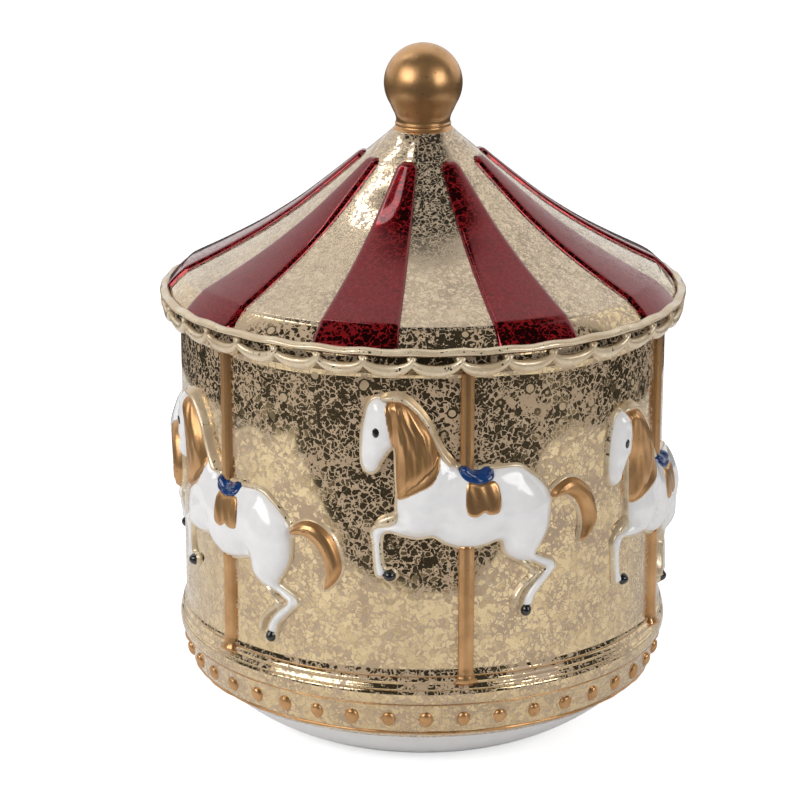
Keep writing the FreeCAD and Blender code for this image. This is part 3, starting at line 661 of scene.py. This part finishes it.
def glassRadius(height):  # outer radius of the glass below the eave
    return np.interp(height, wallPart[:, 1], wallPart[:, 0])


glassInside = {
    "mouthHeight": 12.75,
    "mouthWidth": 63.0,  # radius where the floor of the glass meets its side
    "side": [(65.4, 17.0), (67.4, 24.0), (68.0, 30.0), (66.8, 37.0), (66.8, 110.0),
             (69.6, 119.0), (70.8, 125.0)],
    "roof": [(67.0, 127.2), (55.0, 133.2), (40.0, 142.0), (25.0, 153.0), (8.0, 167.0),
             (0.0, 167.4)],
}
glassZones = {"roofFrom": 129.3, "recessRadius": 69.6, "recessHeights": (114.6, 124.4)}


def addGlassBody():
    low = glassInside["mouthHeight"]
    floorTop = low + glass["wall"]
    inner = [(glass["mouthRadius"], low), (glass["mouthRadius"], floorTop),
             (glassInside["mouthWidth"], floorTop), *glassInside["side"], *glassInside["roof"]]
    outline = list(outerOutline) + inner
    points, faces = turnedShape(outline, glass["steps"])
    picks = []
    recessLow, recessHigh = glassZones["recessHeights"]
    for face in faces:
        lowest = min(points[corner][2] for corner in face)
        radii = [math.hypot(*points[corner][:2]) for corner in face]
        onRoof = lowest > glassZones["roofFrom"] and outerAbove(max(radii), lowest)
        # faces in the scallop recess and under the eave take the darker glass, which is painted
        # shade
        inRecess = min(radii) > glassZones["recessRadius"] and recessLow < lowest < recessHigh
        picks.append(1 if onRoof else 2 if inRecess else 0)
    addPiece("glassBody", points, faces, ["mercuryGlass", "roofGlass", "recessPaintedShadeGlass"], "carousel",
             ["glass_body"], picks)


def outerAbove(radius, height):  # true for the roof's outside, false for its inside
    table = np.array(glass["roof"])
    return height > np.interp(radius, table[:, 0], table[:, 1]) - 1.2


# ---- roof stripes ----

stripes = {
    "count": 9,
    "first": 25.0,  # degrees from the front to the middle of one stripe
    "halfAngle": 9.6,
    "top": 17.0,  # radius of the rounded top end
    "relief": 1.0,
    "cornerRound": 2.6,
    "shoulder": 1.7,  # width of the rounded edge
    "crown": 0.18,  # extra height along the middle
    "sunk": 0.35,  # depth of the edge below the glass
    "depth": 0.6,  # how far the underside lies inside the glass
    "across": 30,
    "along": 90,
}


def stripeShape():
    roofLine = [p for p in softLine(glass["roof"], 6) if p[0] > stripes["top"] - 1.5]
    line = np.vstack([roofLine, softLine(glass["fascia"][:7], 4)])
    keep = np.cumsum(np.r_[0, np.linalg.norm(np.diff(line, axis=0), axis=1)])
    reach = np.linspace(0, keep[-1], stripes["along"])
    radius = np.interp(reach, keep, line[:, 0])
    height = np.interp(reach, keep, line[:, 1])
    slope = np.gradient(np.stack([radius, height], -1), axis=0)
    slope /= np.linalg.norm(slope, axis=1)[:, None]
    outward = np.stack([-slope[:, 1], slope[:, 0]], -1)
    outward *= np.sign(outward[:, 1:2] + 0.3 * outward[:, 0:1])
    across = np.linspace(-1, 1, stripes["across"])
    v, u = np.meshgrid(np.arange(len(reach)), across, indexing="ij")
    halfWidth = np.radians(stripes["halfAngle"]) * radius[v]
    fromSide = (1 - np.abs(u)) * halfWidth
    fromTop = reach[v] - 0.4
    fromEnd = reach[-1] - reach[v]
    bend = stripes["cornerRound"]
    corner = np.minimum(np.minimum(fromTop, fromEnd), bend)
    sideNeed = bend - np.sqrt(np.maximum(bend ** 2 - (bend - corner) ** 2, 0))
    inside = np.minimum(fromSide - sideNeed, np.minimum(fromTop, fromEnd))
    shoulder = np.clip(inside / stripes["shoulder"], 0, 1)
    lift = stripes["relief"] * np.sqrt(1 - (1 - shoulder) ** 2)
    lift -= stripes["sunk"] * (shoulder <= 0)
    lift += stripes["crown"] * (1 - u ** 2) * shoulder
    top = np.stack([radius[v] + outward[v, 0] * lift, height[v] + outward[v, 1] * lift], -1)
    depth = stripes["depth"]
    under = np.stack([radius[v] - outward[v, 0] * depth, height[v] - outward[v, 1] * depth], -1)
    return u * stripes["halfAngle"], top, under


def addRoofStripes():
    angle, top, under = stripeShape()
    parts = []
    for number in range(stripes["count"]):
        middle = stripes["first"] + 360 / stripes["count"] * number
        upper, lower = (placeRound(middle + angle, side[..., 0], side[..., 1])
                        for side in (top, under))
        parts.append(slab(upper, lower, True))
    points, faces = joined(parts)
    addPiece("roofStripes", points, faces, ["rubyLacquer"], "carousel",
             ["roof_stripes"])


# ---- valance: rope moulding and scallops ----

valance = {
    "count": 36,
    "first": 2.3,
    "ropeHeight": 125.05,
    "ropeRadius": 73.55,
    "ropeHalf": (0.8, 1.32),  # half its height and half its reach
    "rimDrop": 5.0,  # from the rope down to the middle of a rim
    "rimHalf": (1.72, 1.15),
    "ledgeDrop": 6.9,
    "skirt": ((117.6, 70.9), (119.6, 73.0), (122.0, 73.75), (124.6, 74.0)),
}


def skirtRadius(height):
    heights, radii = zip(*valance["skirt"])
    return np.interp(height, heights, radii)


def addValance():
    parts = []
    theta = np.linspace(0, 360, 720, endpoint=False)
    beat = np.cos(np.radians(theta - valance["first"]) * valance["count"])
    ropeWide, ropeThick = valance["ropeHalf"]
    path = placeRound(theta, valance["ropeRadius"], valance["ropeHeight"] - 0.12 * beat)
    parts.append(bandAlong(path, ropeWide * (1 - 0.12 * beat), ropeThick, 12, True))
    half = 180 / valance["count"]
    u = np.linspace(-1.12, 1.12, 25)
    hang = np.sqrt(np.clip(1 - np.abs(u / 1.14) ** 2.1, 0.0, 1))
    top = valance["ropeHeight"] - 0.3
    rimWide, rimThick = valance["rimHalf"]
    for number in range(valance["count"]):
        angle = valance["first"] + half * (2 * number + u)
        height = top - valance["rimDrop"] * hang
        lean = 0.16 * u  # each festoon lies over its neighbour on one side
        path = placeRound(angle, skirtRadius(height) + lean - 0.1, height)
        parts.append(bandAlong(path, rimWide * (0.34 + 0.66 * hang ** 2),
                               rimThick * (0.55 + 0.45 * hang)))
        low = top - valance["ledgeDrop"] * hang ** 1.2
        path = placeRound(angle, skirtRadius(low) - 0.45, low)
        parts.append(bandAlong(path, 0.62 * (0.5 + 0.5 * hang), 0.5, 8))
    points, faces = joined(parts)
    addPiece("valanceTrim", points, faces, ["valanceGlass"], "carousel",
             ["valance_trim"])


# ---- beads, band lines and poles ----

beads = {"count": 42, "first": 0.5, "height": 19.7, "wide": 2.05, "tall": 2.3, "relief": 1.35,
         "rings": 7, "steps": 14}


def addBeads():
    parts = []
    rings, steps = beads["rings"], beads["steps"]
    rng = np.random.default_rng(5)
    for number in range(beads["count"]):
        middle = beads["first"] + 360 / beads["count"] * number
        tall = beads["tall"] * rng.uniform(0.92, 1.06)
        wide = beads["wide"] * rng.uniform(0.9, 1.05)
        grid = []
        for ring in np.linspace(0, 1, rings):
            for turn in np.arange(steps) * 2 * math.pi / steps:
                fall = math.sin(ring * math.pi / 2)
                out = math.cos(ring * math.pi / 2) * beads["relief"]
                pinch = 1 - 0.22 * max(0.0, -math.sin(turn)) * fall
                across = math.cos(turn) * fall * wide * pinch
                up = math.sin(turn) * fall * tall
                height = beads["height"] + up
                radius = glassRadius(height) + out - 0.15
                grid.append(placeRound(middle + math.degrees(across / 69.0), radius, height))
        back = placeRound(middle, glassRadius(beads["height"]) - 0.9, beads["height"])
        points = np.array(grid + [back])
        faces = ringFaces(rings, steps)
        last = (rings - 1) * steps
        for corner in range(steps):
            faces.append([last + corner, len(points) - 1, last + (corner + 1) % steps])
        parts.append((points, faces))
    points, faces = joined(parts)
    piece = addPiece("beadRing", points, faces, ["copperPaint"], "carousel",
                     ["bead_ring"])
    mergeClose(piece, 0.00001)


def mergeClose(piece, distance):
    work = bmesh.new()
    work.from_mesh(piece.data)
    bmesh.ops.remove_doubles(work, verts=work.verts, dist=distance)
    bmesh.ops.recalc_face_normals(work, faces=work.faces)
    work.to_mesh(piece.data)
    work.free()


bandLines = {"heights": (32.75, 24.55, 15.25), "thick": (0.18, 0.26, 0.48), "sides": 6}


def addBandLines():
    parts = []
    theta = np.linspace(0, 360, 288, endpoint=False)
    for height, thick in zip(bandLines["heights"], bandLines["thick"]):
        wobble = 1 + 0.18 * np.sin(np.radians(theta) * 23) + 0.12 * np.sin(np.radians(theta) * 57)
        path = placeRound(theta, glassRadius(height) + 0.02, height)
        size = thick * wobble
        parts.append(bandAlong(path, size, size, bandLines["sides"], True, (1, 0)))
    points, faces = joined(parts)
    addPiece("bandLines", points, faces, ["copperPaint"], "carousel")


poles = {"count": 6, "first": 9.4, "width": 3.9, "lowWidth": 4.5, "relief": 1.95,
         "bottom": 30.5, "saddleTop": 90.6, "belly": 70.4, "top": 118.6,
         "lowDrop": 10.8}  # every second horse rides this much lower


def poleStretch(middle, low, high, width, footFlare):
    heights = np.linspace(low, high, 40)
    across = np.linspace(-1, 1, 15)
    flare = 1 + footFlare * np.exp(-((heights - low) / 1.6) ** 2)
    points = []
    for height, wide in zip(heights, flare):
        fade = min(1.0, (height - low) / 0.6 + 0.35)
        for u in across:
            ridge = poles["relief"] * math.sqrt(max(0.0, 1 - abs(u) ** 2.4)) * fade
            ridge -= 0.22 * math.exp(-((abs(u) - 0.62) / 0.12) ** 2)
            radius = glass["wallRadius"] + ridge - 0.12
            if height < 40.0:
                radius += glassRadius(height) - glass["wallRadius"]
            points.append(placeRound(middle + math.degrees(u * width / 2 * wide / 70.0), radius,
                                     height))
    front = np.array(points).reshape(len(heights), len(across), 3)
    back = front.copy()
    scale = (glass["wallRadius"] - 0.9) / np.linalg.norm(back[..., :2], axis=-1)
    back[..., :2] *= scale[..., None]
    return slab(front, back)


def riderDrop(number):
    return poles["lowDrop"] if number % 2 else 0.0


def addPoles():
    for number in range(poles["count"]):
        middle = poles["first"] + 360 / poles["count"] * number
        belly, saddleTop = (poles[key] - riderDrop(number) for key in ("belly", "saddleTop"))
        lower = poleStretch(middle, poles["bottom"], belly, poles["lowWidth"], 0.55)
        upper = poleStretch(middle, saddleTop, poles["top"], poles["width"], 0.0)
        points, faces = joined([lower, upper])
        addPiece("pole%d" % (number + 1), points, faces, ["copperPaint"], "carousel",
                 ["pole_%d" % (number + 1)])


# ---- finial ----

finial = {
    "neck": [(9.6, 169.0), (9.0, 169.6), (8.0, 170.6), (7.7, 171.2), (7.9, 171.45), (7.9, 171.75),
             (7.65, 172.1), (7.65, 173.0), (7.95, 174.1), (8.6, 175.4), (9.28, 176.9)],
    "ball": 11.05,
    "ballStart": 61.5,  # degrees up from its lowest point, where the neck runs into it
    "centre": 183.0,
}


def addFinial():
    neck = softLine(finial["neck"], 4)
    start = math.radians(finial["ballStart"])
    ball = []
    for angle in np.linspace(start, math.pi, 40):
        ball.append((finial["ball"] * math.sin(angle),
                     finial["centre"] - finial["ball"] * math.cos(angle)))
    ball[-1] = (0.0, finial["centre"] + finial["ball"])
    outline = [(0.0, 168.6), (9.2, 168.6)] + list(neck) + ball
    points, faces = turnedShape(outline, 96)
    addPiece("finialBall", points, [face[::-1] for face in faces], ["copperPaint"], "carousel",
             ["finial"])


addGlassBody()
addRoofStripes()
addValance()
addBeads()
addBandLines()
addPoles()
addFinial()
print("stage: glass, roof, valance, band, poles, finial")


# ---- horses: reliefs laid on the wall, worked out as height fields ----

horse = {
    "grid": 0.36,  # mm between points
    "flatRadius": 73.0,  # the outlines are drawn unrolled at this radius, from the pole
    "sink": -0.7,  # edges dip this far under the glass
    "torso": [(-4.1, 93.8), (-2.2, 92.3), (6.6, 91.7), (14.4, 91.7), (18.4, 89.5), (22.6, 86),
              (25.1, 82.2), (25.1, 77.3), (24.4, 73), (22.3, 68.9), (20.5, 66.3), (22.9, 64.9),
              (26.2, 63.3), (27.3, 61.2), (25.7, 59.8), (22.8, 56.8), (20.4, 54.2), (19.2, 51.2),
              (16.4, 51.6), (17.6, 55), (20.2, 58.1), (23.6, 61.1), (22.2, 62.3), (19.6, 63.7),
              (15.7, 64.3), (12.6, 65.9), (10.7, 68.1), (9.6, 71.1), (5.4, 70.1), (1.1, 69.4),
              (-2.6, 69.9), (-6.3, 71.2), (-9.5, 73), (-14, 72.5), (-18.4, 73.3), (-21.4, 74.1),
              (-23.4, 73.7), (-24.1, 72), (-24.2, 68.5), (-23.8, 65.1), (-22.6, 62),
              (-25.3, 61.4), (-26, 65.5), (-26.4, 70.3), (-26.9, 73.7), (-25.6, 75.4),
              (-22.4, 76.1), (-19.8, 77.7), (-19.9, 81.8), (-19.2, 86), (-16, 91), (-9, 96.4),
              (-6.4, 95.8)],
    "head": [(-22.2, 110.6), (-24.4, 111.7), (-26.6, 111), (-28, 109), (-28.8, 106), (-29.5, 102.6),
             (-29.8, 98.6), (-29.8, 94.4), (-29.2, 91.9), (-27.3, 90.4), (-25.3, 91.4),
             (-23.9, 93.9), (-22.1, 96.6), (-20.2, 98.6), (-19.4, 103), (-19.6, 108)],
    "mane": [(-22.3, 110), (-19.9, 111.5), (-16.8, 110.4), (-14, 107.8), (-11.6, 105), (-9.5, 102),
             (-8.3, 98.7), (-7.9, 95.3), (-8.4, 92), (-10.2, 88.9), (-14.1, 86.5), (-17.7, 84.5),
             (-19.5, 84.2), (-20, 89), (-20.2, 96), (-21, 99.5), (-21.7, 103.2), (-22.3, 107)],
    "tail": [(25, 82.9), (28, 85.3), (31.4, 86.1), (35, 85), (38.5, 81.8), (40.6, 77.2),
             (41.1, 73.1), (39.3, 69.4), (35.6, 66.4), (35.4, 68), (36.1, 71.7), (35.4, 75.3),
             (33.8, 78.5), (31.4, 80.6), (28.7, 81.3), (25.6, 80.9)],
    "saddle": [(-2.4, 92.6), (-0.3, 93.2), (2.4, 91.3), (5.2, 92.4), (7, 91.7), (6.4, 89.2),
               (2.9, 88.4), (-0.2, 89.1), (-2, 90.7)],
    "flap": [(-0.2, 88.6), (2.9, 88), (7, 88.6), (8.3, 85.3), (8, 80.6), (5.4, 80), (3.9, 80.8),
             (1.8, 79.6), (-0.4, 80.5), (-0.9, 84)],
    "crest": [(-24.6, 110.6), (-23.3, 112.4), (-20.6, 113.1), (-17.4, 112.7), (-13.4, 109.4),
              (-10.2, 105.2), (-8.1, 100.8), (-6, 97.2), (-3.2, 93.4), (-6, 92.6), (-9.4, 98),
              (-13, 105), (-18, 109.6)],
    "farForeleg": [(-19.4, 79.6), (-21.4, 79.4), (-24.2, 78.3), (-25.6, 77), (-25.4, 75.6),
                   (-22.4, 75.4), (-19.6, 76.6)],
    "farHindLeg": [(17.6, 64.6), (20.2, 61.9), (22.2, 60.8), (21.2, 59.4), (17.4, 56.4),
                   (15.4, 53.4), (14.6, 50.8), (12.9, 51.4), (13.6, 54.6), (16, 57.8),
                   (19, 60.4), (17, 62.4), (14.6, 64.8)],
    "hindHoof": (17.6, 50.2, 1.75, 1.9),
    "frontHoof": (-21.7, 61.9, 2.05, 1.8),
    "eye": (-25.0, 102.6, 0.85, 1.2),
    "muscles": [(-13.5, 80, 5.5, 0.85), (-14.5, 75.6, 3.0, 0.5), (18, 81, 6.0, 0.9),
                (-11, 89, 4.0, 0.5), (1.5, 77, 6, 0.3), (-6.6, 80, 2.0, -0.5),
                (-7.5, 74, 2.0, -0.55), (-9, 84.5, 2.2, -0.35), (9.8, 74, 2.6, -0.7),
                (11.2, 81, 2.2, -0.4), (16.2, 70, 3.6, 0.6), (-20.4, 80.4, 2.2, 0.45),
                (13, 90, 2.4, -0.35), (20, 66.5, 1.6, 0.4)],
    "face": [(-25.8, 103.8, 2.2, 0.35), (-25.2, 99.2, 1.6, 0.3), (-27.8, 93.6, 1.4, 0.35),
             (-26.8, 96.6, 1.4, -0.25), (-24.2, 108.4, 1.5, 0.3)],
}

span = np.arange(-33, 45, horse["grid"])
rise = np.arange(46, 117, horse["grid"])
gridS, gridZ = np.meshgrid(span, rise)


def fromOutline(points, soft=6):  # distance inside an outline, minus outside
    loop = softLoop(points, soft)
    near = np.full(gridS.shape, 1e9)
    inside = np.zeros(gridS.shape, bool)
    for (ax, ay), (bx, by) in zip(loop, np.roll(loop, -1, 0)):
        along = ((gridS - ax) * (bx - ax) + (gridZ - ay) * (by - ay)) / (
            (bx - ax) ** 2 + (by - ay) ** 2 + 1e-12)
        along = np.clip(along, 0, 1)
        near = np.minimum(near, (gridS - ax - along * (bx - ax)) ** 2
                          + (gridZ - ay - along * (by - ay)) ** 2)
        if ay != by:
            crossing = ((ay > gridZ) != (by > gridZ))
            inside ^= crossing & (gridS < (bx - ax) * (gridZ - ay) / (by - ay) + ax)
    return np.where(inside, 1, -1) * np.sqrt(near)


def fromOval(oval):
    s, z, wide, tall = oval
    return (1 - np.hypot((gridS - s) / wide, (gridZ - z) / tall)) * min(wide, tall)


def pillow(distance, top, width):
    part = np.clip(distance / width, 0, 1)
    return np.where(distance > 0, top * np.sqrt(1 - (1 - part) ** 2), distance * 1.6)


def blurred(field, passes):
    for _ in range(passes):
        wide = np.pad(field, 1, mode="edge")
        field = (wide[1:-1, 1:-1] * 4 + wide[:-2, 1:-1] + wide[2:, 1:-1] + wide[1:-1, :-2]
                 + wide[1:-1, 2:]) / 8
    return field


def withBumps(field, bumps):
    for s, z, size, amount in bumps:
        field = field + amount * np.exp(-((gridS - s) ** 2 + (gridZ - z) ** 2) / size ** 2)
    return field


def patchMesh(height, distance, theta, reach, drop):  # a height field near its outline
    keep = distance > -reach
    cellKeep = keep[:-1, :-1] & keep[1:, :-1] & keep[:-1, 1:] & keep[1:, 1:]
    used = np.zeros(keep.shape, bool)
    for rows in (slice(None, -1), slice(1, None)):
        for columns in (slice(None, -1), slice(1, None)):
            used[rows, columns] |= cellKeep
    index = np.full(keep.shape, -1)
    index[used] = np.arange(used.sum())
    angle = theta + np.degrees(gridS[used] / horse["flatRadius"])
    front = placeRound(angle, glass["wallRadius"] + height[used], gridZ[used] - drop)
    back = placeRound(angle, glass["wallRadius"] + np.full(used.sum(), horse["sink"] - 0.25),
                      gridZ[used] - drop)
    row, column = np.nonzero(cellKeep)
    a, b = index[row, column], index[row, column + 1]
    c, d = index[row + 1, column + 1], index[row + 1, column]
    quads = np.stack([a, b, c, d], -1)
    start = used.sum()
    edges = np.concatenate([quads[:, [0, 1]], quads[:, [1, 2]], quads[:, [2, 3]], quads[:, [3, 0]]])
    known = set(map(tuple, edges.tolist()))
    sides = [(q, p, p + start, q + start) for p, q in known if (q, p) not in known]
    faces = quads.tolist() + (quads[:, ::-1] + start).tolist() + sides
    return np.vstack([front, back]), faces


def horseFields():
    torsoIn = fromOutline(horse["torso"])
    headIn = fromOutline(horse["head"])
    maneIn = fromOutline(horse["mane"])
    tailIn = fromOutline(horse["tail"])
    body = blurred(pillow(torsoIn, 4.5, 11.0), 4)
    body = body + np.clip(torsoIn / 2.5, 0, 1) * withBumps(np.zeros_like(body), horse["muscles"])
    faceLift = withBumps(np.zeros_like(body), horse["face"]) * np.clip(headIn / 1.2, 0, 1)
    head = blurred(pillow(headIn, 3.4, 4.6), 3) + faceLift
    white = np.maximum(body, head)
    whiteIn = np.maximum(torsoIn, headIn)
    left, right = -20.6 - 0.02 * (gridZ - 98), np.interp(gridZ, [86, 92, 96, 102, 111],
                                                         [-9.0, -8.2, -8.2, -9.6, -17])
    share = (gridS - left) / (right - left)
    strands = np.sin(2 * np.pi * 3.6 * share + 1.1 * np.sin(gridZ / 2.6) + gridZ * 0.09)
    strands += 0.5 * np.sin(2 * np.pi * 8.3 * share + 0.8 * np.sin(gridZ / 1.7 + 2))
    mane = blurred(pillow(maneIn, 4.35, 5.0), 3) + 0.17 * strands * np.clip(maneIn / 1.3, 0, 1)
    maneOver = np.where(maneIn > -0.25, np.maximum(mane, white + 0.30 * np.clip(
        (maneIn + 0.25) / 0.5, 0, 1)), white - 0.4)
    tail = blurred(pillow(tailIn, 3.3, 2.6), 2)
    tail = tail + 0.13 * np.cos(2 * np.pi * tailIn / 0.95) * np.clip(tailIn / 0.6, 0, 1)
    under = np.maximum(white, np.where(maneIn > 0, mane, -1))

    def painted(distance, lift, edgeWidth, wave=0.0):
        rim = np.clip((distance + 0.12) / edgeWidth, -1, 1)
        rise = np.where(rim > 0, lift * np.sqrt(1 - (1 - np.clip(rim, 0, 1)) ** 2), rim * 0.9)
        return under + rise + wave * np.sin(gridS * 2.1 + 0.6 * gridZ) * np.clip(rim, 0, 1)

    saddleIn = fromOutline(horse["saddle"])
    flapIn = fromOutline(horse["flap"])
    seat = np.maximum(painted(saddleIn, 0.55, 0.8, 0.08), pillow(saddleIn, 3.4, 2.0))
    flap = painted(flapIn, 0.42, 0.7, 0.06)
    ovals = {key: fromOval(horse[key]) for key in ("hindHoof", "frontHoof", "eye")}
    hoofIn = np.maximum(ovals["hindHoof"], ovals["frontHoof"])
    hoof = np.maximum(pillow(hoofIn, 2.5, 1.8), np.where(hoofIn > 0, white + 0.15, -1))
    eye = painted(ovals["eye"], 0.22, 0.5)
    crestIn = fromOutline(horse["crest"])
    edgeIn = np.maximum.reduce([whiteIn + 0.55, tailIn + 0.45, maneIn + 0.4, hoofIn + 0.3,
                                saddleIn + 0.3])
    farIn = np.maximum(fromOutline(horse["farForeleg"]), fromOutline(horse["farHindLeg"]))
    rim = np.maximum.reduce([pillow(edgeIn, 0.95, 0.75), blurred(pillow(farIn, 1.7, 1.5), 1),
                             blurred(pillow(crestIn, 3.0, 2.4), 2)])
    rimIn = np.maximum.reduce([edgeIn, farIn, crestIn])
    return {
        "Body": (white, whiteIn, "enamelWhite", "horse_enamel", 0.9),
        "Mane": (maneOver, maneIn, "copperPaint", "copper_paint", 0.8),
        "Tail": (tail, tailIn, "copperPaint", "copper_paint", 0.8),
        "Saddle": (seat, saddleIn, "saddleBlue", "horse_enamel", 0.8),
        "Flap": (flap, flapIn, "copperPaint", "copper_paint", 0.8),
        "Hooves": (hoof, hoofIn, "hoofBlack", "horse_enamel", 0.8),
        "Eye": (eye, ovals["eye"], "hoofBlack", "horse_enamel", 0.6),
        "Rim": (rim, rimIn, "valanceGlass", "mercury_glass", 0.8),
    }


def addHorses():
    fields = horseFields()
    for number in range(poles["count"]):
        theta = poles["first"] + 360 / poles["count"] * number
        for part, (height, distance, materialName, slotName, reach) in fields.items():
            floorHeight = np.maximum(height, horse["sink"])
            points, faces = patchMesh(floorHeight, distance, theta, reach, riderDrop(number))
            replaced = ["horse_%d" % (number + 1)] if part == "Body" else []
            addPiece("horse%d%s" % (number + 1, part), points, faces, [materialName], "carousel",
                     replaced)


addHorses()
print("stage: horses")


# ---- CAD pieces that stay, with their finishes ----

slotFinish = {"white_plastic": "footPlastic", "black_plastic": "blackPlastic",
              "clear_rubber": "clearRubber", "steel": "steel", "spring_steel": "springSteel",
              "zinc_casting": "zinc", "plated_key": "nickel", "brass": "brass",
              "white_nylon": "nylon", "mercury_glass": "mercuryGlass", "copper_paint": "copperPaint",
              "ruby_lacquer": "rubyLacquer", "horse_enamel": "enamelWhite"}


def dressNodes():
    given = {row["node"]: row["material_slot"] for row in frame["record"]["subparts"]}
    for name, node in cadNodes.items():
        finish = materials[slotFinish[given[name]]]
        if not node.material_slots:
            node.data.materials.append(finish)
        for slot in node.material_slots:
            slot.material = finish


dressNodes()
print("stage: movement dressed")
